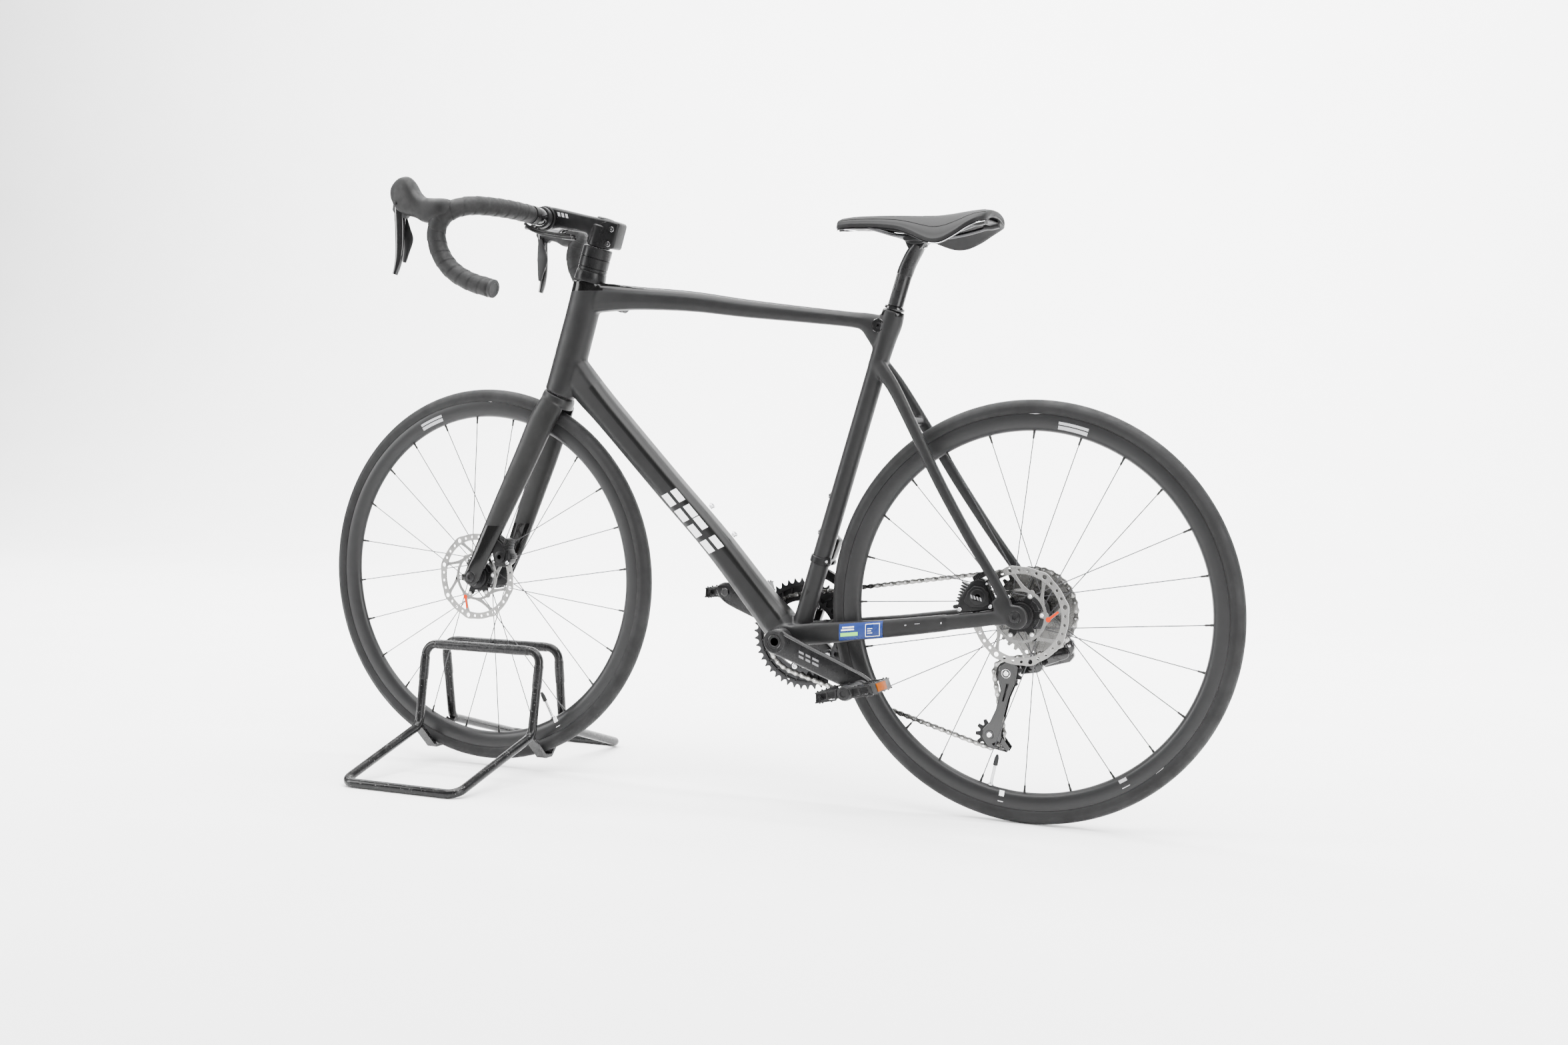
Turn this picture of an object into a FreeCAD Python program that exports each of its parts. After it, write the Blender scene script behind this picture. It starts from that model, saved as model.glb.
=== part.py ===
"""Road bicycle with its front wheel in a bent-tube display stand.

Row frame: +X towards the front of the bicycle, +Y towards its left side, +Z up.
The origin lies on the floor, halfway between the two wheels. All lengths are in millimetres.
"""
import FreeCAD
import Part
import math
import os

os.makedirs("parts", exist_ok=True)

# Driving dimensions
REAR_X, REAR_Z = -513.0, 339.0
FRONT_X, FRONT_Z = 513.0, 352.6
TYRE_R = 339.0
TYRE_SECTION_R = 14.0
RIM_OUTER_R = 316.5
RIM_INNER_R = 289.0
RIM_HALF_WIDTH = 11.0
SPOKE_COUNT = 24
SPOKE_R = 1.0
AXLE_R = 6.0
AXLE_BORE_R = 6.05
ROTOR_R = 80.0
ROTOR_SCALLOPS = 8
ROTOR_HALF = 0.9
BB_X, BB_Z = -100.3, 275.3
CRANK_LENGTH = 172.5
CRANK_DROP = math.radians(21.3)
PITCH = 12.7
INNER_RING_TEETH = 34
OUTER_RING_TEETH = 46
COGS = [34, 30, 27, 25, 23, 21, 19, 17, 15, 13, 11]
PULLEY_TEETH = 11
COG_PITCH_Y = 3.74
COG_Y = -27.0
RING_Y = -41.0
OUTER_RING_Y = -49.0
GUIDE_X, GUIDE_Z = -469.4, 235.9
TENSION_X, TENSION_Z = -442.9, 133.9
STEER_LEAN = 0.3023
STEERER_R = 14.3
SEATPOST_R = 12.7
BAR_Y = 222.0
STAND_TUBE_R = 8.0
STAND_TOP_Y = 30.0
STAND_TOP_Z = 221.0
STAND_KNEE_Y = 52.0
STAND_KNEE_Z = 72.5
STAND_FOOT_Y = 271.0
STAND_TOP_HALF = 122.0
STAND_KNEE_HALF = 120.0
STAND_FOOT_HALF = 118.0
STAND_FLAT = 0.5


# Building blocks
def vec(x, y, z):
    return FreeCAD.Vector(x, y, z)


def rod(start, end, radius):
    a = vec(*start)
    axis = vec(*end) - a
    return Part.makeCylinder(radius, axis.Length, a, axis)


def cone(start, end, radius_a, radius_b):
    a = vec(*start)
    axis = vec(*end) - a
    return Part.makeCone(radius_a, radius_b, axis.Length, a, axis)


def disc(x, z, y0, y1, radius):
    return rod((x, y0, z), (x, y1, z), radius)


def washer(x, z, y0, y1, outer, inner):
    low = min(y0, y1)
    high = max(y0, y1)
    return disc(x, z, low, high, outer).cut(disc(x, z, low - 1, high + 1, inner))


def fuse(shapes):
    whole = shapes[0].multiFuse(shapes[1:])
    clean = whole.removeSplitter()
    return clean if clean.isValid() and clean.Solids else whole


def link(x0, z0, r0, x1, z1, r1, y0, y1):
    """A flat bar with round ends of two sizes."""
    gap = math.hypot(x1 - x0, z1 - z0)
    along = math.atan2(z1 - z0, x1 - x0)
    open_angle = math.acos((r0 - r1) / gap)
    outline = []
    for i in range(17):
        a = along + open_angle + (2 * math.pi - 2 * open_angle) * i / 16
        outline.append((x0 + r0 * math.cos(a), z0 + r0 * math.sin(a)))
    for i in range(17):
        a = along - open_angle + 2 * open_angle * i / 16
        outline.append((x1 + r1 * math.cos(a), z1 + r1 * math.sin(a)))
    return prism(outline, min(y0, y1), max(y0, y1))


def prism(outline, y0, y1):
    points = [vec(x, y0, z) for x, z in outline]
    face = Part.Face(Part.makePolygon(points + points[:1]))
    return face.extrude(vec(0, y1 - y0, 0))


def oval(centre, up, side, half_up, half_side, power):
    points = []
    for i in range(24):
        angle = 2 * math.pi * i / 24
        c = math.cos(angle)
        s = math.sin(angle)
        a = math.copysign(abs(c) ** (2 / power), c) * half_up
        b = math.copysign(abs(s) ** (2 / power), s) * half_side
        points.append(centre + up * a + side * b)
    curve = Part.BSplineCurve()
    curve.interpolate(Points=points, PeriodicFlag=True)
    return Part.Wire(curve.toShape())


def member(stations, power=2.6):
    """Loft through stations of (x, y, z, half height, half width) along their own path."""
    points = [vec(s[0], s[1], s[2]) for s in stations]
    wires = []
    for i, station in enumerate(stations):
        ahead = points[min(i + 1, len(points) - 1)]
        behind = points[max(i - 1, 0)]
        along = (ahead - behind).normalize()
        side = (vec(0, 1, 0) - along * along.y).normalize()
        up = along.cross(side)
        wires.append(oval(points[i], up, side, station[3], station[4], power))
    return Part.makeLoft(wires, True, False)


def upright_loft(stations, power=2.6):
    """Loft through upright sections of (x, y, z, half height, half width)."""
    wires = [oval(vec(s[0], s[1], s[2]), vec(0, 0, 1), vec(0, 1, 0), s[3], s[4], power) for s in stations]
    return Part.makeLoft(wires, True, False)


def mirrored(shape):
    return shape.mirror(vec(0, 0, 0), vec(0, 1, 0))


def bend_path(points, radius, closed=False):
    corners = [vec(*p) for p in points]
    count = len(corners)
    edges = []
    last = corners[0]
    first = None
    for i in range(0 if closed else 1, count if closed else count - 1):
        corner = corners[i]
        back = (corners[i - 1] - corner).normalize()
        on = (corners[(i + 1) % count] - corner).normalize()
        half = back.getAngle(on) / 2
        reach = radius / math.tan(half)
        a = corner + back * reach
        b = corner + on * reach
        middle = corner + (back + on).normalize() * (radius / math.sin(half) - radius)
        if first is None and closed:
            first = a
        else:
            edges.append(Part.makeLine(last, a))
        edges.append(Part.Arc(a, middle, b).toShape())
        last = b
    edges.append(Part.makeLine(last, first if closed else corners[-1]))
    return Part.Wire(edges)


def sweep(path, radius):
    edge = path.Edges[0]
    start = edge.valueAt(edge.FirstParameter)
    tangent = edge.tangentAt(edge.FirstParameter)
    profile = Part.Wire(Part.makeCircle(radius, start, tangent))
    return path.makePipeShell([profile], True, False)


def curve_path(points):
    curve = Part.BSplineCurve()
    curve.interpolate([vec(*p) for p in points])
    return Part.Wire(curve.toShape())


def ring_of(outline, x, z):
    """Revolve an (radius, y) outline about the wheel axis through (x, z)."""
    points = [vec(x + r, y, z) for r, y in outline]
    face = Part.Face(Part.makePolygon(points + points[:1]))
    return face.revolve(vec(x, 0, z), vec(0, 1, 0), 360)


def steer_point(z, forward=0.0, side=0.0):
    return (460.8 - (z - 352.6) * STEER_LEAN + forward, side, z)


def seat_point(z):
    return (-110.0 - (z - 275.0) * STEER_LEAN, 0.0, z)


# Stand
def stand_points(side):
    t, k, f = STAND_TOP_HALF, STAND_KNEE_HALF, STAND_FOOT_HALF
    foot_z = STAND_TUBE_R - STAND_FLAT
    corners = [
        (f, STAND_FOOT_Y, foot_z), (k, STAND_KNEE_Y, STAND_KNEE_Z), (t, STAND_TOP_Y, STAND_TOP_Z),
        (-t, STAND_TOP_Y, STAND_TOP_Z), (-k, STAND_KNEE_Y, STAND_KNEE_Z), (-f, STAND_FOOT_Y, foot_z),
    ]
    return [(FRONT_X + x, side * y, z) for x, y, z in corners]


def stand_loop(side):
    loop = sweep(bend_path(stand_points(side), 22.0, True), STAND_TUBE_R)
    below = Part.makeBox(400, 700, 20, vec(FRONT_X - 200, -350, -20))
    return loop.cut(below)


def stand_sleeves():
    sleeves = []
    for side in (1, -1):
        p = stand_points(side)
        leg_a = tuple(p[2][i] * 0.62 + p[1][i] * 0.38 for i in range(3))
        leg_b = tuple(p[3][i] * 0.62 + p[4][i] * 0.38 for i in range(3))
        path = bend_path([leg_a, p[2], p[3], leg_b], 22.0)
        sleeves.append(sweep(path, STAND_TUBE_R + 1.2).cut(sweep(path, STAND_TUBE_R)))
    return Part.makeCompound(sleeves)


def stand_cradles(loops):
    cradles = []
    for x in (STAND_KNEE_HALF, -STAND_KNEE_HALF):
        outline = [(50, 73), (8, 31.3), (-8, 31.3), (-50, 73), (-54, 69), (-10, 26.0), (10, 26.0), (54, 69)]
        points = [vec(FRONT_X + x - 10, y, z) for y, z in outline]
        bar = Part.Face(Part.makePolygon(points + points[:1])).extrude(vec(20, 0, 0))
        for loop in loops:
            bar = bar.cut(loop)
        cradles.append(sorted(bar.Solids, key=lambda s: s.Volume)[-1])
    return Part.makeCompound(cradles)


# Wheels
def tyre(x, z):
    centre = TYRE_R - TYRE_SECTION_R
    outer = Part.makeTorus(centre, TYRE_SECTION_R, vec(x, 0, z), vec(0, 1, 0))
    inner = Part.makeTorus(centre, TYRE_SECTION_R - 3.2, vec(x, 0, z), vec(0, 1, 0))
    seat = disc(x, z, -20, 20, RIM_OUTER_R)
    return outer.cut(inner).cut(seat)


def rim(x, z):
    w = RIM_HALF_WIDTH
    o = RIM_OUTER_R
    outline = [
        (o, w), (o, w - 2.5), (o - 6, w - 3), (o - 9, 3.5), (o - 9, -3.5), (o - 6, 3 - w), (o, 2.5 - w), (o, -w),
        (o - 16, -w + 0.2), (RIM_INNER_R + 5, -8.5), (RIM_INNER_R, -4), (RIM_INNER_R, 4),
        (RIM_INNER_R + 5, 8.5), (o - 16, w - 0.2),
    ]
    cavity = [
        (o - 11, 5), (o - 11, -5), (o - 16, -w + 2.4), (RIM_INNER_R + 6, -6.5),
        (RIM_INNER_R + 2, -3), (RIM_INNER_R + 2, 3), (RIM_INNER_R + 6, 6.5), (o - 16, w - 2.4),
    ]
    return ring_of(outline, x, z).cut(ring_of(cavity, x, z))


def polar(x, z, radius, angle, y):
    return (x + radius * math.cos(angle), y, z + radius * math.sin(angle))


def spokes(x, z, left_y, right_y, phase):
    rods = []
    for k in range(SPOKE_COUNT):
        angle = math.radians(phase + k * 360.0 / SPOKE_COUNT)
        flange = left_y if k % 2 == 0 else right_y
        lead = 1 if (k // 2) % 2 == 0 else -1
        hub_angle = angle + lead * math.radians(60)
        start = polar(x, z, 24.5, hub_angle, flange + lead * 1.8)
        tip = polar(x, z, RIM_INNER_R + 0.6, angle, math.copysign(2.0, flange))
        neck = vec(*tip) + (vec(*start) - vec(*tip)).normalize() * 12.0
        line = rod(start, tip, SPOKE_R)
        nipple = rod(tuple(neck), tip, 1.8)
        rods.append(line.fuse(nipple))
    return Part.makeCompound(rods)


def front_hub():
    x, z = FRONT_X, FRONT_Z
    body = [
        disc(x, z, -46, 46, 8.5), disc(x, z, -32, 28, 12.0), washer(x, z, -31.5, -24.5, 27, 9),
        washer(x, z, 20.5, 27.5, 27, 9), disc(x, z, 28, 40.4, 17.0), disc(x, z, -49.7, 49.7, 10.0),
    ]
    return fuse(body).cut(disc(x, z, -60, 60, AXLE_BORE_R))


def rear_hub():
    x, z = REAR_X, REAR_Z
    body = [
        disc(x, z, -23.5, 46, 13.0), washer(x, z, -21.5, -14.5, 28, 9), washer(x, z, 30.5, 37.5, 27, 9),
        disc(x, z, 38, 53.1, 17.0), disc(x, z, 53, 70.7, 10.0),
    ]
    return fuse(body).cut(disc(x, z, -80, 80, AXLE_BORE_R))


def rotor(x, z, y, phase, tab_phase):
    """Scalloped track on swept struts, riveted to a six-armed carrier."""
    y0, y1 = y - ROTOR_HALF, y + ROTOR_HALF
    track = washer(x, z, y0, y1, ROTOR_R, ROTOR_R - 13.8)
    cuts = []
    for k in range(ROTOR_SCALLOPS):
        a = math.radians(phase + 45 * k)
        valley = polar(x, z, ROTOR_R + 27.6, a + math.radians(22.5), 0)
        cuts.append(disc(valley[0], valley[2], y0 - 1, y1 + 1, 30.0))
        big = polar(x, z, 73.4, a, 0)
        cuts.append(disc(big[0], big[2], y0 - 1, y1 + 1, 3.9))
        for step in (1, 2, 3):
            small = polar(x, z, 72.0, a + math.radians(11.25 * step), 0)
            cuts.append(disc(small[0], small[2], y0 - 1, y1 + 1, 2.5))
    parts = [track.cut(Part.makeCompound(cuts)), washer(x, z, y0, y1, 43.0, 38.6), washer(x, z, y0, y1, 26.0, 17.0)]
    for k in range(ROTOR_SCALLOPS):
        a = math.radians(phase + 45 * k)
        rim_end = polar(x, z, 67.5, a + math.radians(3), 0)
        elbow = polar(x, z, 46.0, a + math.radians(18), 0)
        foot = polar(x, z, 40.8, a + math.radians(30), 0)
        parts.append(link(rim_end[0], rim_end[2], 3.2, elbow[0], elbow[2], 2.6, y0, y1))
        parts.append(link(elbow[0], elbow[2], 2.6, foot[0], foot[2], 2.2, y0, y1))
    for k in range(6):
        a = math.radians(tab_phase + 60 * k)
        inner = polar(x, z, 22.0, a, 0)
        outer = polar(x, z, 40.0, a, 0)
        parts.append(link(inner[0], inner[2], 6.5, outer[0], outer[2], 5.0, y0, y1))
    return fuse(parts).cut(disc(x, z, y0 - 1, y1 + 1, 17.0))


def valve(x, z, angle_deg):
    a = math.radians(angle_deg)
    stem = rod(polar(x, z, 250, a, 0), polar(x, z, RIM_INNER_R, a, 0), 3.0)
    nut = rod(polar(x, z, RIM_INNER_R - 3, a, 0), polar(x, z, RIM_INNER_R, a, 0), 5.0)
    cap = rod(polar(x, z, 236, a, 0), polar(x, z, 250, a, 0), 3.8)
    return fuse([stem, nut, cap])


# Fork, stem and handlebar
def fork():
    blade = member([
        (364, 15, 672, 24, 12), (382, 26, 632, 25, 10.5), (416, 35, 560, 23, 9.5), (450, 43, 487, 21, 9),
        (475, 49, 432, 19, 8.5), (496, 53, 388, 17, 8), (512, 54.5, 352.6, 16, 5), (519, 54.5, 339, 12, 4.5),
    ])
    crown = Part.makeLoft([
        oval(vec(*steer_point(683.7)), vec(0.957, 0, 0.289), vec(0, 1, 0), 28, 26, 2.2),
        oval(vec(*steer_point(668)), vec(0.957, 0, 0.289), vec(0, 1, 0), 28, 28, 2.2),
        oval(vec(*steer_point(640)), vec(0.957, 0, 0.289), vec(0, 1, 0), 26, 33, 2.4),
    ], True, False)
    steerer = rod(steer_point(680), steer_point(972), STEERER_R)
    ends = [disc(FRONT_X, FRONT_Z, 50, 59, 15.5), disc(FRONT_X, FRONT_Z, -59, -50, 15.5)]
    whole = crown.multiFuse([blade, mirrored(blade), steerer]).multiFuse(ends)
    room = disc(FRONT_X, FRONT_Z, -18.5, 18.5, TYRE_R + 7)
    hub_room = disc(FRONT_X, FRONT_Z, -50, 50, 40)
    whole = whole.cut(room).cut(hub_room).cut(disc(FRONT_X, FRONT_Z, -70, 70, AXLE_R))
    return whole.cut(disc(FRONT_X, FRONT_Z, 59.2, 70, 24)).cut(disc(FRONT_X, FRONT_Z, -70, -59.2, 24))


def front_thru_axle():
    shaft = disc(FRONT_X, FRONT_Z, -58, 59.6, AXLE_R)
    head = disc(FRONT_X, FRONT_Z, 59.6, 62, 8.5).cut(disc(FRONT_X, FRONT_Z, 60.4, 63, 3.0))
    return fuse([shaft, head])


def headset_spacers():
    cover = cone(steer_point(882.3), steer_point(900), 28.0, 26.5)
    rings = [cover]
    for z0, z1 in ((900.0, 905.6), (905.9, 922.6), (922.9, 939.8)):
        rings.append(rod(steer_point(z0), steer_point(z1), 26.0))
    bore = rod(steer_point(870), steer_point(950), STEERER_R)
    return Part.makeCompound([ring.cut(bore) for ring in rings])


def stem():
    outline = [
        (232, 979.5), (250, 985.5), (300, 996.5), (372, 1014), (376, 1014), (376, 973), (354, 975.5),
        (300, 965), (291, 950.5), (284, 945.5), (245.5, 933.8),
    ]
    body = prism(outline, -17.5, 17.5)
    clamp = rod((380.5, -21, 993.8), (380.5, 21, 993.8), 21.5)
    collar = rod(steer_point(941), steer_point(979), 21.0)
    solid = fuse([body, clamp, collar])
    bore = rod(steer_point(930), steer_point(972), STEERER_R)
    return solid.cut(bore).cut(rod((380.5, -30, 993.8), (380.5, 30, 993.8), 15.9))


def stem_hardware():
    bolts = []
    for x, z in ((246.0, 969.5), (253.5, 944.0)):
        bolts.append(rod((x, 14, z), (x, 22.5, z), 4.0).cut(rod((x, 19, z), (x, 23, z), 2.2)))
        bolts.append(rod((x, -22.5, z), (x, -14, z), 4.0))
    bolts.append(rod(steer_point(983), steer_point(992.5), 15.0))
    for x, z in ((404.5, 1003.5), (404.5, 984.0)):
        for y in (-12, 12):
            bolts.append(rod((x - 8, y, z), (x, y, z), 3.6))
    return Part.makeCompound([b.cut(stem()) for b in bolts])


def bar_half_points():
    return [
        (380.5, 0, 993.8), (380.5, 36, 993.8), (384, 72, 996.5), (391, 112, 999), (403, 152, 1000),
        (420, 186, 999), (438, 209, 992), (455, 220, 979), (466, 222, 960), (466.5, 222, 938),
        (456, 222, 911), (433, 222, 886), (398, 222, 867.5), (357, 222, 855.8),
    ]


def bar_run(first, radius):
    points = bar_half_points()
    path = curve_path(points)
    edge = path.Edges[0]
    return sweep(path, radius) if first == 0 else sweep(Part.Wire(trimmed(edge, points[first])), radius)


def trimmed(edge, point):
    start = edge.Curve.parameter(vec(*point))
    return edge.Curve.toShape(start, edge.LastParameter)


def handlebar():
    centre = rod((380.5, -40, 993.8), (380.5, 40, 993.8), 15.85)
    taper = cone((380.5, 40, 993.8), (383.9, 71, 996.4), 15.85, 11.9)
    side = bar_run(2, 11.9).cut(bar_run(2, 9.6))
    return Part.makeCompound([centre.fuse(taper).fuse(mirrored(taper)), side, mirrored(side)])


def bar_tape():
    wrap = bar_run(2, 16.0).cut(bar_run(2, 11.95))
    return Part.makeCompound([wrap, mirrored(wrap)])


def bar_end_plugs():
    plug = rod((357.0, BAR_Y, 855.8), (350.0, BAR_Y, 854.2), 15.5)
    return Part.makeCompound([plug, mirrored(plug)])


def lever_hoods():
    hood = upright_loft([
        (447, 222, 991.5, 16.5, 17), (466, 222, 988, 20, 18), (490, 222.5, 990, 21.5, 18), (505, 223, 1001, 24, 18),
        (515, 223.5, 1011, 31, 17.5), (528, 224, 1015, 32.5, 16.5), (541, 224, 1017, 28, 15.5),
        (550, 224, 1019, 17, 12), (557, 224, 1020, 7, 7),
    ])
    hood = hood.cut(bar_run(0, 16.3))
    hood = sorted(hood.Solids, key=lambda s: s.Volume)[-1]
    hood = hood.cut(prism([(526, 1009), (560, 1009), (560, 970), (519, 970)], 217.5, 231.5))
    core = sorted(hood.Solids, key=lambda s: s.Volume)[-1]
    pin = rod((541, 214, 1000), (541, 234, 1000), 2.0)
    core = core.fuse(pin)
    return Part.makeCompound([core, mirrored(core)])


def brake_lever():
    blade = member([
        (541, 224.5, 1004, 8, 5.5), (539, 224.5, 985, 11, 5.5), (536, 225, 960, 12, 5), (535, 226, 936, 12, 4.5),
        (539, 227, 908, 9, 4), (547, 229, 883, 5, 4),
    ])
    return blade.cut(rod((541, 200, 1000), (541, 250, 1000), 2.05))


def shift_paddle():
    return member([
        (527, 214, 962, 7, 2.6), (522, 213, 950, 12, 2.6), (519, 212.6, 934, 12, 2.4), (520, 212.6, 922, 8, 2.2),
    ]).fuse(rod((533, 214.5, 944), (533, 214.5, 965), 2.0))


def front_caliper():
    block = prism([
        (476, 437), (459, 421), (434, 393), (441, 374), (466, 372), (476, 385), (478, 402), (488, 424),
    ], 26.5, 51.5)
    slot = disc(FRONT_X, FRONT_Z, 38.6 - 2.2, 38.6 + 2.2, ROTOR_R + 3)
    return block.cut(slot).cut(fork())


def rear_caliper(stays, upper_stays):
    block = prism([(-476, 345), (-470, 372), (-466, 396), (-440, 400), (-414, 366), (-408, 334)], 40, 66)
    slot = disc(REAR_X, REAR_Z, 51.3 - 2.2, 51.3 + 2.2, ROTOR_R + 3)
    return sorted(block.cut(slot).cut(stays).cut(upper_stays).Solids, key=lambda s: s.Volume)[-1]


def brake_hoses():
    hose = sweep(curve_path([
        (392, 62, 979.0), (388, 48, 972.5), (378, 30, 968.5), (362, 16, 966), (345, 8, 963), (332, 5, 961),
    ]), 2.6)
    hose = hose.cut(stem())
    hose = sorted(hose.Solids, key=lambda s: s.Volume)[-1]
    return Part.makeCompound([hose, mirrored(hose)])


# Frame
def hollow(stations, wall, power=2.6):
    outer = member(stations, power)
    inner = member([(s[0], s[1], s[2], s[3] - wall, s[4] - wall) for s in stations], power)
    return outer.cut(inner)


def head_tube_solid():
    stations = []
    for z, half_up, half_side in ((676, 28.5, 27), (700, 30, 26), (770, 30.5, 23.5), (860, 30, 24), (890, 28, 25)):
        x, _, _ = steer_point(z)
        back = 0.0 if z < 690 or z > 880 else 2.5
        stations.append((x - back, 0, z, half_up, half_side))
    tube = member(stations, 2.2).cut(rod(steer_point(630), steer_point(684.3), 60))
    return tube.cut(rod(steer_point(881.9), steer_point(930), 60))


def head_tube():
    return head_tube_solid().cut(rod(steer_point(670), steer_point(890), 19.0))


def seat_tube_solid():
    return rod(seat_point(276), seat_point(822), 16.0)


def seat_tube():
    flare = member([(*seat_point(770), 17, 16.3), (*seat_point(800), 20, 17.5), (*seat_point(818), 19, 17)], 2.2)
    whole = seat_tube_solid().fuse(flare)
    return whole.cut(rod(seat_point(260), seat_point(830), 12.75)).cut(disc(BB_X, BB_Z, -60, 60, 22))


def top_tube():
    tube = hollow([
        (276, 0, 854, 26, 17), (240, 0, 852, 22, 18), (198.6, 0, 851, 20, 18), (95, 0, 843, 17.5, 18),
        (-8, 0, 829, 15.5, 17.5), (-120, 0, 817, 13.5, 17), (-222, 0, 805.5, 12.5, 16), (-252, 0, 799, 17, 15),
        (-268, 0, 793, 22, 14),
    ], 2.0, 2.8)
    above = rod(steer_point(881.9), steer_point(930), 60)
    return largest(tube.cut(head_tube_solid()).cut(above).cut(seat_tube_outer()))


def seat_tube_outer():
    return seat_tube().fuse(rod(seat_point(276), seat_point(822), 15.0))


def down_tube():
    tube = hollow([
        (322, 0, 713, 31, 20), (290, 0, 678, 27, 21.5), (254.6, 0, 642, 25.5, 22.5), (141.4, 0, 527, 25, 22.5),
        (45.4, 0, 430.5, 25, 22.5), (-40, 0, 334, 26, 23), (-70, 0, 301, 29, 28), (-90, 0, 282, 24, 30),
    ], 2.0, 3.2)
    return largest(tube.cut(head_tube_solid()).cut(disc(BB_X, BB_Z, -60, 60, 22)).cut(seat_tube_outer()))


def largest(shape):
    return sorted(shape.Solids, key=lambda s: s.Volume)[-1]


def bottom_bracket_shell():
    return washer(BB_X, BB_Z, -34, 34, 22.0, 19.0)


def stay_pair(stations, power=2.6):
    left = member(stations, power)
    return left, mirrored(left)


def chainstays(tubes):
    left, right = stay_pair([
        (-112, 24, 283, 16, 7.5), (-150, 28, 287, 17.5, 7.5), (-190, 31, 292, 17, 7.5), (-270, 41, 303, 15, 8),
        (-380, 56, 319.5, 13.5, 8), (-440, 65, 329, 12, 7.5), (-480, 71, 336, 11.5, 6), (-502, 75.3, 339, 12, 4.4),
    ])
    plates = [disc(REAR_X, REAR_Z, 71, 80, 18.5), disc(REAR_X, REAR_Z, -80, -71, 18.5)]
    hanger = prism([(-524, 330), (-504, 322), (-512, 300), (-528, 300), (-534, 312)], -79, -73)
    bridge = rod((-146, -30, 296), (-146, 30, 296), 9.0)
    whole = fuse([left, right, bridge, hanger] + plates)
    whole = whole.cut(disc(REAR_X, REAR_Z, -90, 90, AXLE_R)).cut(disc(REAR_X, REAR_Z, -16.5, 16.5, TYRE_R + 5))
    whole = whole.cut(disc(REAR_X, REAR_Z, -71, 71, 40)).cut(disc(BB_X, BB_Z, -60, 60, 22))
    for tube in tubes:
        whole = whole.cut(tube)
    return largest(whole)


def seatstays(tubes):
    left, right = stay_pair([
        (-252, 9, 728, 11, 7.5), (-280, 15, 708, 10.5, 7), (-330.5, 32, 624, 9.5, 7.5), (-375.6, 46, 542, 9, 7.5),
        (-427, 58, 463, 8.5, 7.5), (-470, 67, 402, 8.5, 6), (-497, 74.5, 360, 8, 4),
    ])
    bridge = rod((-318, -30, 640), (-318, 30, 640), 7.0)
    whole = fuse([left, right, bridge])
    whole = whole.cut(disc(REAR_X, REAR_Z, -17, 17, TYRE_R + 5))
    for tube in tubes:
        whole = whole.cut(tube)
    solids = sorted(whole.Solids, key=lambda s: s.Volume)
    return Part.makeCompound([s for s in solids if s.Volume > 2000])


def frame_hardware():
    upper = rod(steer_point(873), steer_point(881), 19.0).cut(rod(steer_point(860), steer_point(890), STEERER_R + 0.05))
    lower = rod(steer_point(685), steer_point(693), 19.0).cut(rod(steer_point(680), steer_point(700), STEERER_R + 0.05))
    cups = []
    for side in (1, -1):
        cups.append(washer(BB_X, BB_Z, side * 34, side * 38.6, 21.0, 12.05))
        cups.append(washer(BB_X, BB_Z, side * 28, side * 34, 19.0, 12.05))
    pair = [cups[0].fuse(cups[1]), cups[2].fuse(cups[3])]
    bolts = []
    for x, z in ((56.5, 491.5), (12.8, 444.2)):
        base = vec(x, 0, z)
        out = vec(-0.72, 0, 0.69)
        bolts.append(Part.makeCylinder(4.5, 6.0, base, out))
    for z in (512, 450.8):
        x, _, _ = seat_point(z)
        bolts.append(Part.makeCylinder(4.5, 5.0, vec(x, 0, z) + vec(0.957, 0, 0.289) * 16.0, vec(0.957, 0, 0.289)))
    cut_bolts = [b.cut(down_tube()) for b in bolts]
    return Part.makeCompound([upper, lower] + pair + [largest(b) for b in cut_bolts])


def seat_clamp():
    ring = rod(seat_point(822.2), seat_point(828), 17.0).cut(rod(seat_point(815), seat_point(835), SEATPOST_R + 0.3))
    plug = rod((-254, 15, 797), (-254, 21, 797), 11.0).cut(rod((-254, 19, 797), (-254, 22, 797), 4.0))
    plug = plug.cut(top_tube()).cut(seat_tube_outer())
    return Part.makeCompound([ring, largest(plug)])


def rear_thru_axle():
    shaft = disc(REAR_X, REAR_Z, -79, 80, AXLE_R)
    head = disc(REAR_X, REAR_Z, 80, 83, 8.5).cut(disc(REAR_X, REAR_Z, 81, 84, 3.0))
    return fuse([shaft, head])


# Drivetrain
def pitch_radius(teeth):
    return PITCH / (2 * math.sin(math.pi / teeth))


def toothed(x, z, y, teeth, half, bore, phase=0.0):
    radius = pitch_radius(teeth)
    outline = []
    for i in range(teeth):
        for offset, r in ((-0.36, radius - 3.9), (-0.17, radius + 3.0), (0.17, radius + 3.0), (0.36, radius - 3.9)):
            a = phase + 2 * math.pi * (i + offset) / teeth
            outline.append((x + r * math.cos(a), z + r * math.sin(a)))
    return prism(outline, y - half, y + half).cut(disc(x, z, y - half - 1, y + half + 1, bore))


def cassette():
    x, z = REAR_X, REAR_Z
    parts = [disc(x, z, -66.2, -24.4, 17.0), disc(x, z, -70.7, -66.0, 9.5)]
    for i, teeth in enumerate(COGS):
        parts.append(toothed(x, z, COG_Y - i * COG_PITCH_Y, teeth, 0.8, 15.0))
    parts.append(disc(x, z, -67.0, -65.0, 20.0))
    return fuse(parts).cut(disc(x, z, -90, 0, AXLE_BORE_R))


def chainring(teeth, y, bore):
    return toothed(BB_X, BB_Z, y, teeth, 0.9, bore)


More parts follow.
